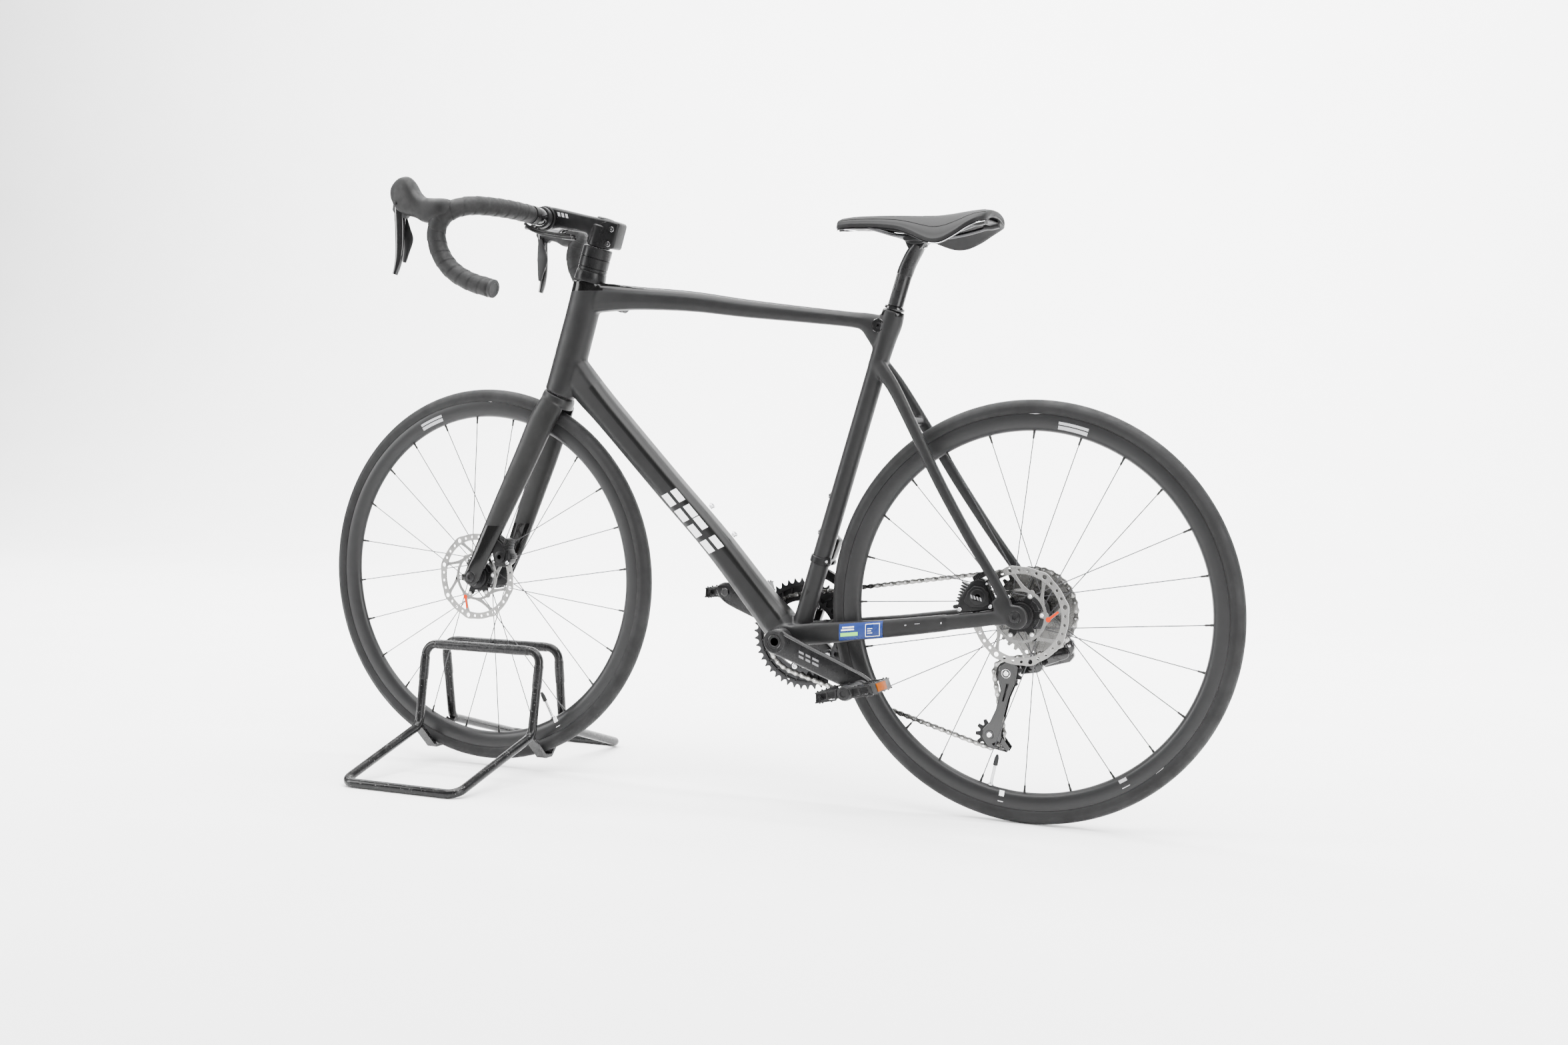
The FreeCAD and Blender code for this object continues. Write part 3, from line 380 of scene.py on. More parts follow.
# Materials: every one gets its colour, roughness and relief from nodes
class Shader:
    """A thin wrapper that builds node graphs by name."""

    def __init__(self, name):
        self.material = bpy.data.materials.new(name)
        self.material.use_nodes = True
        self.tree = self.material.node_tree
        self.bsdf = self.tree.nodes["Principled BSDF"]
        self.coord = self.node("ShaderNodeTexCoord").outputs["Object"]

    def node(self, kind, **inputs):
        made = self.tree.nodes.new(kind)
        for key, value in inputs.items():
            self.feed(made.inputs[key], value)
        return made

    def feed(self, socket, value):
        if isinstance(value, bpy.types.NodeSocket):
            self.tree.links.new(value, socket)
        else:
            socket.default_value = value

    def math(self, operation, a, b=0.0):
        made = self.tree.nodes.new("ShaderNodeMath")
        made.operation = operation
        for socket, value in zip(made.inputs, (a, b)):
            self.feed(socket, value)
        return made.outputs[0]

    def times(self, a, b):
        return self.math("MULTIPLY", a, b)

    def plus(self, a, b):
        return self.math("ADD", a, b)

    def noise(self, scale, detail=4.0, stretch=(1, 1, 1), rough=0.55):
        vector = self.node("ShaderNodeMapping", Vector=self.coord, Scale=stretch).outputs[0]
        return self.node(
            "ShaderNodeTexNoise", Vector=vector, Scale=scale, Detail=detail, Roughness=rough
        ).outputs["Fac"]

    def ramp(self, value, low, high):
        made = self.node("ShaderNodeMapRange", Value=value)
        made.inputs["From Min"].default_value = low
        made.inputs["From Max"].default_value = high
        made.interpolation_type = "SMOOTHSTEP"
        return made.outputs[0]

    def mix(self, factor, a, b):
        made = self.tree.nodes.new("ShaderNodeMix")
        made.data_type = "RGBA"
        for socket, value in ((made.inputs[0], factor), (made.inputs[6], a), (made.inputs[7], b)):
            self.feed(socket, value)
        return made.outputs[2]

    def blend(self, factor, a, b):
        made = self.tree.nodes.new("ShaderNodeMix")
        made.data_type = "FLOAT"
        for socket, value in ((made.inputs[0], factor), (made.inputs[2], a), (made.inputs[3], b)):
            self.feed(socket, value)
        return made.outputs[0]

    def split(self):
        return self.node("ShaderNodeSeparateXYZ", Vector=self.coord).outputs

    def radius(self, centre):
        x, _, z = self.split()
        dx = self.math("SUBTRACT", x, centre[0] * MM)
        dz = self.math("SUBTRACT", z, centre[1] * MM)
        return self.math("SQRT", self.plus(self.times(dx, dx), self.times(dz, dz)))

    def bump(self, height, strength=0.3, depth=0.5):
        made = self.node("ShaderNodeBump", Height=height, Strength=strength, Distance=depth * MM)
        if self.bsdf.inputs["Normal"].is_linked:
            self.feed(made.inputs["Normal"], self.bsdf.inputs["Normal"].links[0].from_socket)
        self.feed(self.bsdf.inputs["Normal"], made.outputs[0])

    def set(self, **values):
        for key, value in values.items():
            self.feed(self.bsdf.inputs[key.replace("_", " ")], value)


def rgb(value, tint=(1.0, 1.0, 1.0)):
    return (value * tint[0], value * tint[1], value * tint[2], 1.0)


def surface(
    name, colour, rough, metal=0.0, vary=0.25, grain=900.0, relief=0.12, patch=14.0, coat=0.0, edge=0.0,
    spread=0.08, spec=0.20
):
    """Base finish: patchy colour, uneven roughness, fine grain and worn edges."""
    s = Shader(name)
    broad = s.noise(patch, 5.0)
    fine = s.noise(grain, 3.0)
    dark = tuple(c * (1 - vary) for c in colour) + (1.0,)
    light = tuple(c * (1 + vary) for c in colour) + (1.0,)
    tone = s.mix(s.ramp(broad, 0.3, 0.7), dark, light)
    if edge:
        worn = s.ramp(s.node("ShaderNodeNewGeometry").outputs["Pointiness"], 0.54, 0.62)
        scuff = s.times(worn, s.ramp(s.noise(160.0, 3.0), 0.45, 0.7))
        tone = s.mix(s.times(scuff, edge), tone, tuple(min(1.0, c * 4 + 0.12) for c in colour) + (1.0,))
    s.set(Base_Color=tone, Metallic=metal)
    s.set(
        Roughness=s.blend(
            s.ramp(s.noise(patch * 5, 4.0), 0.3, 0.7), max(0.02, rough - spread), rough + spread
        )
    )
    s.bump(fine, relief, 0.25)
    s.bsdf.inputs["Specular IOR Level"].default_value = spec
    if coat:
        s.bsdf.inputs["Coat Weight"].default_value = coat
        s.bsdf.inputs["Coat Roughness"].default_value = 0.06
    return s


def brushed(name, colour, rough, centre=None, lines=2600.0, metal=1.0):
    """Metal with fine turning or brushing marks."""
    s = surface(name, colour, rough, metal, vary=0.08, grain=500, relief=0.04)
    if centre:
        marks = s.tree.nodes.new("ShaderNodeTexNoise")
        marks.noise_dimensions = "1D"
        s.feed(marks.inputs["W"], s.times(s.radius(centre), lines))
        s.bump(marks.outputs["Fac"], 0.15, 0.2)
    else:
        s.bump(s.noise(180.0, 3.0, (1, 14, 1)), 0.15, 0.2)
    return s


def frame_paint():
    """Matte dark grey clear coat with gloss zones that follow the tubes."""
    s = Shader("frame_paint")
    x, y, z = s.split()
    broad = s.noise(5.0, 3.0)
    base = s.mix(s.ramp(broad, 0.3, 0.7), rgb(0.0055, (1, 1, 1.04)), rgb(0.0075, (1, 1, 1.04)))
    along = s.plus(s.times(x, DOWN_X), s.times(z, DOWN_Z))
    offset = s.plus(s.times(x, -DOWN_Z), s.times(z, DOWN_X))
    side = s.math("ABSOLUTE", y)
    # Gloss panel on the upper side of the down tube, in metres across and along it
    down_top = s.times(s.ramp(offset, 0.2735, 0.2740), s.math("LESS_THAN", offset, 0.345))
    down_zone = s.times(
        down_top, s.times(s.math("GREATER_THAN", along, 0.16), s.math("LESS_THAN", along, 0.70))
    )
    # Gloss ridge along the top tube, and its front end at the head tube
    roof = s.math("GREATER_THAN", s.plus(z, s.times(x, -0.105)), 0.8405)
    ridge = s.times(roof, s.math("LESS_THAN", side, 0.0145))
    collar = s.times(s.math("GREATER_THAN", x, 0.265), s.math("GREATER_THAN", z, 0.8645))
    head_wedge = s.math("MAXIMUM", ridge, collar)
    gloss = s.math("MAXIMUM", down_zone, head_wedge)
    s.set(Base_Color=s.mix(gloss, base, rgb(0.0025)))
    matte = s.blend(s.ramp(s.noise(60.0, 4.0), 0.3, 0.7), 0.42, 0.50)
    s.set(Roughness=s.blend(head_wedge, s.blend(down_zone, matte, 0.34), 0.14))
    s.bump(s.noise(1500.0, 2.0), 0.06, 0.15)
    s.bsdf.inputs["Specular IOR Level"].default_value = 0.20
    return s


def fork_paint():
    s = Shader("fork_paint")
    _, _, z = s.split()
    gloss = s.math("LESS_THAN", z, 0.447)
    base = s.mix(s.ramp(s.noise(6.0, 3.0), 0.3, 0.7), rgb(0.0065), rgb(0.0085))
    s.set(Base_Color=s.mix(gloss, base, rgb(0.004)))
    matte = s.blend(s.ramp(s.noise(60.0, 4.0), 0.3, 0.7), 0.40, 0.48)
    s.set(Roughness=s.blend(gloss, matte, 0.10))
    s.bump(s.noise(1500.0, 2.0), 0.05, 0.15)
    s.bsdf.inputs["Specular IOR Level"].default_value = 0.20
    return s


def tyre_rubber(centre):
    """Fine file tread on the crown, a moulded line and faint radial ribs on the sidewall."""
    s = surface(
        "tyre_rubber_" + ("front" if centre[0] > 0 else "rear"), (0.008, 0.008, 0.0083), 0.62, vary=0.3,
        grain=1400, relief=0.15, patch=9
    )
    x, y, z = s.split()
    r = s.radius(centre)
    angle = s.math("ARCTAN2", s.math("SUBTRACT", z, centre[1] * MM), s.math("SUBTRACT", x, centre[0] * MM))
    side = s.math("ABSOLUTE", y)
    crown = s.ramp(r, 0.3345, 0.3365)
    hatch_a = s.math("SINE", s.plus(s.times(angle, 700.0), s.times(side, 1600.0)))
    s.bump(s.times(hatch_a, crown), 0.35, 0.35)
    wall = s.math("SUBTRACT", 1.0, crown)
    threads = s.math("SINE", s.times(angle, 1500.0))
    s.bump(s.times(threads, wall), 0.05, 0.12)
    return s.material


def tape_cover():
    s = surface("bar_tape_cover", (0.006, 0.006, 0.0062), 0.60, vary=0.2, grain=700, relief=0.25, patch=30)
    cells = s.node("ShaderNodeTexVoronoi", Vector=s.coord, Scale=520.0).outputs["Distance"]
    s.bump(cells, 0.25, 0.3)
    return s


def hood_rubber():
    s = surface("hood_rubber", (0.006, 0.006, 0.0062), 0.55, vary=0.2, grain=1200, relief=0.2, patch=20)
    x, _, z = s.split()
    ribs = s.math("SINE", s.times(s.plus(x, s.times(z, 0.4)), 1900.0))
    zone = s.times(s.ramp(z, 0.985, 0.99), s.math("SUBTRACT", 1.0, s.ramp(z, 1.016, 1.022)))
    s.bump(s.times(ribs, zone), 0.06, 0.25)
    return s


def saddle_cover():
    s = surface("saddle_cover", (0.0030, 0.0030, 0.0032), 0.60, vary=0.18, grain=1100, relief=0.2, patch=18)
    cells = s.node("ShaderNodeTexVoronoi", Vector=s.coord, Scale=900.0).outputs["Distance"]
    s.bump(cells, 0.12, 0.2)
    x, y, _ = s.split()
    rows = s.times(s.math("SINE", s.times(x, 1100.0)), s.math("SINE", s.times(y, 1100.0)))
    middle = s.times(s.math("LESS_THAN", s.math("ABSOLUTE", y), 0.0125), s.math("LESS_THAN", x, -0.235))
    zone = s.times(middle, s.math("GREATER_THAN", x, -0.415))
    holes = s.times(s.ramp(rows, 0.45, 0.70), zone)
    s.bump(s.math("SUBTRACT", 1.0, holes), 0.5, 0.8)
    s.set(Roughness=s.blend(holes, 0.60, 0.95))
    return s


def stand_paint():
    """Gloss black paint, scuffed bright in long streaks and small nicks."""
    s = surface(
        "stand_paint", (0.006, 0.006, 0.0062), 0.22, vary=0.3, grain=300, relief=0.06, patch=12,
        spread=0.08
    )
    long_marks = s.ramp(s.noise(40.0, 6.0, (1.0, 9.0, 9.0), 0.7), 0.62, 0.70)
    nicks = s.ramp(s.noise(260.0, 5.0), 0.66, 0.72)
    marks = s.math("MAXIMUM", s.times(long_marks, 0.55), s.times(nicks, 0.5))
    old = s.bsdf.inputs["Base Color"].links[0].from_socket
    s.set(Base_Color=s.mix(marks, old, rgb(0.28)))
    return s


def sleeve_film():
    s = surface(
        "stand_sleeve_film", (0.008, 0.008, 0.0083), 0.26, vary=0.25, grain=200, relief=0.15, patch=25
    )
    s.bump(s.noise(90.0, 4.0, (1, 6, 6)), 0.25, 0.5)
    marks = s.ramp(s.noise(60.0, 6.0, (1, 12, 12), 0.7), 0.6, 0.7)
    old = s.bsdf.inputs["Base Color"].links[0].from_socket
    s.set(Base_Color=s.mix(s.times(marks, 0.5), old, rgb(0.2)))
    return s


def rotor_steel(centre):
    """Bright steel with turning marks on the brake track and a satin web inside it."""
    s = brushed(
        "rotor_steel_" + ("front" if centre[0] > 0 else "rear"), (0.26, 0.257, 0.249), 0.30, centre,
        9000.0
    )
    track = s.ramp(s.radius(centre), 0.0660, 0.0668)
    old = s.bsdf.inputs["Base Color"].links[0].from_socket
    s.set(Base_Color=s.mix(track, s.mix(0.45, old, rgb(0.09)), old))
    return s.material


SHADERS = {
    "frame": frame_paint(),
    "fork": fork_paint(),
    "rim": surface(
        "rim_black", (0.0125, 0.0125, 0.0129), 0.34, 0.0, vary=0.08, grain=900, relief=0.05, patch=3,
        spread=0.02
    ),
    "spoke": brushed("spoke_black", (0.045, 0.045, 0.047), 0.32, metal=0.6),
    "nipple": surface("nipple_black", (0.008, 0.008, 0.008), 0.35),
    "black_alloy": surface(
        "black_alloy", (0.008, 0.008, 0.0083), 0.34, 0.05, vary=0.2, grain=1200, relief=0.1, edge=0.5,
        spec=0.16
    ),
    "gloss_black": surface(
        "gloss_black", (0.005, 0.005, 0.0052), 0.12, 0.0, vary=0.2, grain=900, relief=0.04, coat=0.6
    ),
    "satin_black": surface(
        "satin_black", (0.0045, 0.0045, 0.0047), 0.34, 0.0, vary=0.2, grain=1300, relief=0.1, spec=0.14
    ),
    "plastic": surface("moulded_plastic", (0.010, 0.010, 0.0104), 0.48, vary=0.2, grain=1600, relief=0.15),
    "steel": brushed("bolt_steel", (0.55, 0.55, 0.56), 0.25),
    "bright": brushed("polished_alloy", (0.78, 0.78, 0.79), 0.18),
    "chain": brushed("chain_nickel", (0.25, 0.246, 0.236), 0.27),
    "chain_inner": brushed("chain_inner_nickel", (0.11, 0.109, 0.105), 0.32),
    "cog": brushed("cog_nickel", (0.17, 0.168, 0.162), 0.25, REAR, 7000.0),
    "ring": brushed("chainring_dark", (0.030, 0.030, 0.031), 0.36, BB, 5200.0, 0.7),
    "crank": surface(
        "crank_satin", (0.007, 0.007, 0.0073), 0.30, 0.05, vary=0.15, grain=1500, relief=0.1, edge=0.4
    ),
    "tape": tape_cover(),
    "hood": hood_rubber(),
    "saddle": saddle_cover(),
    "rail": brushed("rail_dark", (0.06, 0.06, 0.062), 0.3),
    "stand": stand_paint(),
    "sleeve": sleeve_film(),
    "hose": surface("hose_rubber", (0.007, 0.007, 0.007), 0.4, vary=0.15),
    "amber": surface(
        "amber_reflector", (0.20, 0.045, 0.001), 0.50, vary=0.1, grain=2600, relief=0.3, spec=0.04
    ),
    "white": surface("white_print", (0.78, 0.78, 0.79), 0.32, vary=0.03, grain=600, relief=0.05),
    # Painted shade: near-black, barely reflective finish for the inside of the crank bolt recess
    "painted_shade": surface("painted_shade_recess", (0.0015, 0.0015, 0.0015), 0.85, grain=400, spec=0.02),
    "faded": surface("faded_print", (0.16, 0.16, 0.165), 0.4, 0.2, vary=0.08, grain=600, relief=0.05),
    "green": surface("green_print", (0.20, 0.62, 0.10), 0.35, vary=0.04, grain=600, relief=0.05),
    "label": surface("grey_label", (0.36, 0.36, 0.37), 0.35, 0.3, vary=0.05, grain=600, relief=0.05),
    "sticker": surface("blue_sticker", (0.010, 0.026, 0.125), 0.30, vary=0.1, grain=600, relief=0.05),
    "orange": surface("orange_paint", (0.50, 0.030, 0.001), 0.45, vary=0.1, spec=0.04),
}
M = {key: shader.material for key, shader in SHADERS.items()}


# Frame and fork
def two_sided(half):
    """Closed section from the half that runs from its top to its bottom."""
    return half + [(a, -b) for a, b in reversed(half[1:-1])]


ROUND = superoval(2.0)
BOXY = superoval(3.2)
FACETED = two_sided([
    (1.0, 0.0), (1.0, 0.35), (0.92, 0.52), (0.5, 0.94), (0.38, 1.0), (0.0, 1.0), (-0.55, 1.0),
    (-0.68, 0.94), (-0.96, 0.55), (-1.0, 0.4), (-1.0, 0.0),
])
ROOFED = two_sided([
    (1.0, 0.0), (1.0, 0.55), (0.9, 0.8), (0.35, 1.0), (-0.3, 0.98), (-0.8, 0.7), (-1.0, 0.35), (-1.0, 0.0),
])
CHAINSTAY = [
    (-106, 25, 281, 17, 8), (-150, 28, 286.5, 18.2, 7.5), (-190, 31, 291.5, 17.6, 7.5),
    (-248, 38, 299.7, 15.8, 7.8), (-282, 43, 304.2, 15, 8), (-320, 48, 310, 14.5, 8),
    (-367, 54, 317.5, 13.8, 8), (-392, 58, 321.6, 13.4, 8), (-396, 58.5, 322.2, 12.4, 7.2),
    (-440, 65, 329.3, 12, 7.2), (-480, 71, 336, 11.5, 6), (-506, 75.3, 339, 13, 4.6),
]
LABEL_ROWS = CHAINSTAY[2:8]


def flip(stations):
    return [(s[0], -s[1], s[2], s[3], s[4]) for s in stations]


def both(name, stations, shape):
    return [member(name, stations, shape), member(name, flip(stations), shape)]


def steer_stations(rows):
    return [(*steer(z, forward), half_up, half_side) for z, forward, half_up, half_side in rows]


def seat_stations(rows):
    return [(*seat(z), half_up, half_side) for z, half_up, half_side in rows]


def build_frame():
    head = member("head", steer_stations([
        (684.5, 0, 28, 27), (700, -2, 29.5, 26), (735, -3, 30.5, 24.5), (770, -3, 30.5, 23.5),
        (820, -3, 30, 23), (862, -2.5, 30, 24), (881.5, 0, 28, 25),
    ]), superoval(2.2))
    top = member("top", [
        (292, 0, 853, 27, 16), (262, 0, 853, 24.5, 17.5), (198.6, 0, 850.5, 20, 18),
        (95, 0, 843, 17.5, 18), (-8, 0, 829.5, 15.5, 17.5), (-120, 0, 817, 13.5, 17),
        (-205, 0, 807.5, 13, 16), (-228, 0, 803, 16, 15.5), (-246, 0, 793, 24, 14.5),
        (-262, 0, 782, 32, 13),
    ], ROOFED)
    down = member("down", [
        (334, 0, 727, 30, 18), (300, 0, 689, 28.5, 21), (254.6, 0, 643, 26, 22.5),
        (141.4, 0, 527, 25.2, 22.5), (45.4, 0, 430.5, 25.2, 22.5), (-40, 0, 334, 26.5, 24),
        (-72, 0, 300, 29, 29), (-92, 0, 281, 24, 31),
    ], FACETED)
    seat_body = member("seat", seat_stations([
        (276, 17, 20), (300, 16.5, 17), (420, 16, 16), (640, 16, 16), (730, 16.3, 16.2), (775, 18, 16.6),
        (800, 20.5, 17.5), (821.5, 18.5, 17),
    ]), ROUND)
    shell = lathe("shell", [(0, 22), (6, 24.5), (62, 24.5), (68, 22)], (BB[0], -34, BB[1]), (0, 1, 0), 48)
    seatstay = [
        (-244, 6, 744, 12, 8), (-262, 12, 722, 12, 7.5), (-286, 18, 691, 10.5, 7.2),
        (-327, 32, 624, 9.5, 7.5), (-375.6, 46, 542, 9, 7.5), (-427, 58, 463, 8.5, 7.5),
        (-470, 67, 402, 8.5, 6), (-499, 74.5, 357, 9, 4.4),
    ]
    pieces = [head, top, down, seat_body, shell] + both("cs", CHAINSTAY, BOXY) + both("ss", seatstay, BOXY)
    for side in (1, -1):
        pieces.append(lathe(
            "end", [(0, 18), (1, 19), (8.5, 19), (9.5, 18)], (REAR[0], side * 80.3, REAR[1]),
            (0, -side, 0), 40
        ))
        pieces.append(member(
            "gusset",
            [
                (-478, side * 73.5, 366, 9, 3.2), (-492, side * 75.5, 352, 14, 4),
                (-508, side * 75.5, 341, 15, 4.2)
            ],
            BOXY
        ))
    pieces.append(tube("bridge", [(-150, -28, 297), (-150, 28, 297)], 9.0))
    pieces.append(tube("bridge", [(-316, -29, 642), (-316, 29, 642)], 6.5))
    frame_skin = join("frame_shell", pieces)
    remeshed(frame_skin, 2.2, 7)
    place(
        frame_skin, "frame", M["frame"], "frame_paint", "head_tube", "top_tube", "down_tube", "seat_tube",
        "bottom_bracket_shell", "chainstays", "seatstays"
    )


def build_fork():
    crown = member("crown", [
        (*steer(682.4), 27.5, 26.5), (*steer(676, 1), 29.5, 27.5), (*steer(664, 2), 29, 30),
        (*steer(650, 2), 26, 34), (*steer(640, 1), 20, 35),
    ], superoval(2.2))
    blade = [
        (366, 17, 668, 24, 13), (385, 27, 630, 25, 10.5), (401, 31, 594, 24, 10), (416, 35, 560, 23, 9.5),
        (450, 43, 487, 21, 9), (475, 49, 432, 19, 8.5), (496, 53, 388, 17, 7), (512, 54.8, 356, 16, 4.6),
        (518, 54.8, 341, 13, 4.4),
    ]
    pieces = [crown] + both("blade", blade, superoval(2.6))
    for side in (1, -1):
        pieces.append(lathe(
            "end", [(0, 14.5), (1, 15.5), (8, 15.5), (9, 14.5)], (FRONT[0], side * 59.3, FRONT[1]),
            (0, -side, 0), 40
        ))
    solid = join("fork_shell", pieces)
    cutter = lathe("cutter", [(0, TYRE_R + 7), (37, TYRE_R + 7)], (FRONT[0], -18.5, FRONT[1]), (0, 1, 0), 160)
    remeshed(solid, 1.8, 5)
    carve(solid, cutter, "FAST")
    smooth(solid, 40)
    place(solid, "fork", M["fork"], "frame_paint", "fork")


def build_steering_stack():
    cover = [(0, 27.5), (1, 28.0), (8, 27.6), (17.5, 26.4), (18.2, 26.0)]
    stack = [lathe("cover", cover, steer(882.2), AXIS, 64)]
    for z0, z1 in ((900.4, 905.6), (906.1, 922.8), (923.3, 940.0)):
        h = (z1 - z0) / AXIS.z
        profile = [(0, 25.0), (0.6, 26.1), (h - 0.6, 26.1), (h, 25.0)]
        stack.append(lathe("ring", profile, steer(z0), AXIS, 64))
    for z0 in (900.0, 905.7, 922.9, 940.1):
        stack.append(lathe("gap", [(0, 24.8), (0.6, 24.8)], steer(z0 - 0.2), AXIS, 64))
    fit("headset_stack", stack, "fork", M["satin_black"], "black_plastic", "headset_spacers", sharp=35)


def build_stem():
    lower = [(245.5, 934.5), (284, 946), (291, 951), (300, 965.5), (354, 976)]
    upper = [(376, 974), (381, 1014.5), (366, 1013), (300, 997), (250, 986), (232, 980)]
    body = plate("body", lower + upper, -17.5, 17.5, 5.5, segments=4)
    clamp = lathe(
        "clamp", [(0, 19.5), (1.5, 21.4), (40.5, 21.4), (42, 19.5)], (CLAMP_X, -21, CLAMP_Z), (0, 1, 0),
        64
    )
    face = lathe(
        "face", [(0, 18.5), (1.2, 22.2), (35.8, 22.2), (37, 18.5)], (CLAMP_X + 2, -18.5, CLAMP_Z),
        (0, 1, 0), 64
    )
    collar = lathe("collar", [(0, 19.5), (1.5, 21), (37, 21), (39, 19)], steer(941.5), AXIS, 48)
    cheek = member(
        "cheek",
        [(*steer(944, -3), 24, 18.5), (*steer(960, -3), 24.5, 19.6), (*steer(978, -3), 23, 18.2)], BOXY
    )
    fit(
        "stem_body", [body, clamp, face, collar, cheek], "fork", M["satin_black"], "black_alloy", "stem",
        sharp=35
    )
    bolts = [lathe("cap", [(0, 15), (6.4, 15), (7.6, 13), (7.6, 5), (6.2, 4.6)], steer(984.5), AXIS, 48)]
    for x, z in ((246.0, 969.5), (253.5, 944.0)):
        for side in (1, -1):
            bolts.append(lathe(
                "bolt", [(0, 4.2), (3.0, 4.2), (3.6, 3.6), (3.6, 2.3), (1.4, 2.1)], (x, side * 17.6, z),
                (0, side, 0), 24
            ))
    for y in (-12, 12):
        for z, tilt in ((1005.5, 0.62), (982.0, -0.62)):
            out = Vector((math.cos(tilt), 0, math.sin(tilt)))
            seat_at = Vector((CLAMP_X + 2, y, CLAMP_Z)) + out * 21.6
            bolts.append(lathe(
                "bolt", [(0, 3.8), (2.2, 3.8), (2.8, 3.2), (2.8, 2.0), (1.2, 1.8)], seat_at, out, 20
            ))
    fit("stem_bolts", bolts, "fork", M["black_alloy"], "steel", "stem_hardware", sharp=35)
    rings = []
    for x, z in ((246.0, 969.5), (253.5, 944.0)):
        for side in (1, -1):
            rings.append(bead((x, z), side * 17.9, 4.3, 10, 0.35))
            rings.append(lathe("socket", [(0, 1.7), (0.5, 1.7)], (x, side * 19.2, z), (0, side, 0), 6))
    fit("stem_bolt_rims", rings, "fork", M["steel"], "steel", sharp=35)
    seams = []
    marks = []
    for side in (1, -1):
        line = [(286, 952), (282, 966), (276, 976), (264, 982), (252, 983.5)]
        seams.append(tube("seam", [Vector((x, side * 17.5, z)) for x, z in line], 0.3, 6))
        seams.append(tube(
            "seam",
            [Vector((x, side * 17.5, z)) for x, z in ((366, 980), (312, 971), (300, 967), (294, 955))],
            0.35, 6
        ))
        for k in range(3):
            marks.append(plate(
                "mark",
                [
                    (334 + 8 * k, 992 + 1.8 * k), (339 + 8 * k, 993.1 + 1.8 * k),
                    (341 + 8 * k, 1000.5 + 1.8 * k), (336 + 8 * k, 999.4 + 1.8 * k)
                ],
                side * 17.46, side * 17.62, 0
            ))
    fit("stem_seams", seams, "fork", M["black_alloy"], "black_alloy", sharp=35)
    fit("stem_marks", marks, "fork", M["label"], "black_alloy", sharp=35)


BAR = [
    (CLAMP_X, 0, CLAMP_Z), (CLAMP_X, 36, CLAMP_Z), (384, 72, 996.5), (391, 112, 999), (403, 152, 1000),
    (420, 186, 999), (438, 209, 992), (455, 220, 979), (466, 222, 960), (466.5, 222, 938),
    (456, 222, 911), (433, 222, 886), (398, 222, 867.5), (357, 222, 855.8),
]


def build_bar():
    path = spline(BAR, 10)

    def bar_radius(i):
        y = abs(path[i].y)
        return 15.85 if y < 42 else max(11.9, 15.85 - (y - 42) / 30 * 4)

    half = tube("bar", path, bar_radius, 28)
    bar = join("handlebar_tube", [half, mirrored(half, "other")], 40)
    place(bar, "fork", M["gloss_black"], "black_alloy", "handlebar")
    fine = spline(BAR, 34)
    start = next(i for i, p in enumerate(fine) if p.y > 60)
    run = fine[start:]
    length = [0.0]
    for a, b in zip(run, run[1:]):
        length.append(length[-1] + (b - a).length)
    rings = []
    for i, (p, (_, side, up)) in enumerate(zip(run, frames(run))):
        ring = []
        for j in range(40):
            a = 2 * math.pi * j / 40
            turn = (length[i] / 21.0 + j / 40) % 1.0
            lap = 0.9 * turn - 1.3 * max(0.0, (turn - 0.90) / 0.10) ** 2
            end = min(1.0, length[i] / 6.0, 0.55 + (length[-1] - length[i]) / 8.0)
            r = 13.0 + 2.6 * end + lap * end
            ring.append(p + (side * math.cos(a) + up * math.sin(a)) * r)
        rings.append(ring)
    wrap = skin("wrap", rings, sharp=60)
    fit("bar_tape_wrap", [wrap, mirrored(wrap, "other")], "fork", M["tape"], "tape", "bar_tape", sharp=60)
    finish_tape = lathe(
        "band", [(0, 15.2), (0.4, 16.3), (11, 16.2), (11.5, 15.0)], fine[start] - Vector((0.9, 9.5, 0.6)),
        (fine[start + 6] - fine[start]), 40
    )
    fit("bar_tape_bands", [finish_tape, mirrored(finish_tape, "other")], "fork", M["satin_black"], "tape")
    plug = lathe(
        "plug", [(0, 13.5), (1.5, 15.8), (5.5, 15.8), (7.2, 14.0), (7.2, 9.5), (6.2, 8.8)],
        (358.0, BAR_Y, 856.1), (-1, 0, -0.23), 40
    )
    fit("bar_plugs", [plug, mirrored(plug, "other")], "fork", M["plastic"], "black_plastic", "bar_end_plugs")
    loop = spline(
        [
            (393, 66, 980.0), (390, 50, 974.5), (380, 34, 969.5), (364, 20, 966.5), (348, 11, 964),
            (336, 6, 963)
        ],
        10
    )
    hose = tube("hose", loop, 2.6, 14)
    thin = tube("hose", [p + Vector((-2, 0, -5.0)) for p in loop], 2.0, 12)
    fit(
        "bar_hoses", [hose, thin, mirrored(hose, "h2"), mirrored(thin, "h3")], "fork", M["hose"], "hose",
        "brake_hoses"
    )


def build_computer_mount():
    ring = lathe("ring", [(0, 16.1), (0, 18.6), (9, 18.6), (9, 16.1)], (380.8, 24.5, CLAMP_Z), (0, 1, 0), 48)
    arm = plate(
        "arm", [(392, 981), (400, 976), (408, 974), (413, 975), (413, 979), (404, 981), (396, 986)], 25.5,
        32.5, 1.2
    )
    seat_disc = lathe(
        "puck", [(0, 10), (1.5, 11.5), (4.5, 11.5), (5, 10), (5, 7), (3.5, 6.5)], (409, 21, 975),
        (0, 0, 1), 40
    )
    fit("bar_mount", [ring, arm, seat_disc], "fork", M["plastic"], "black_plastic", sharp=35)


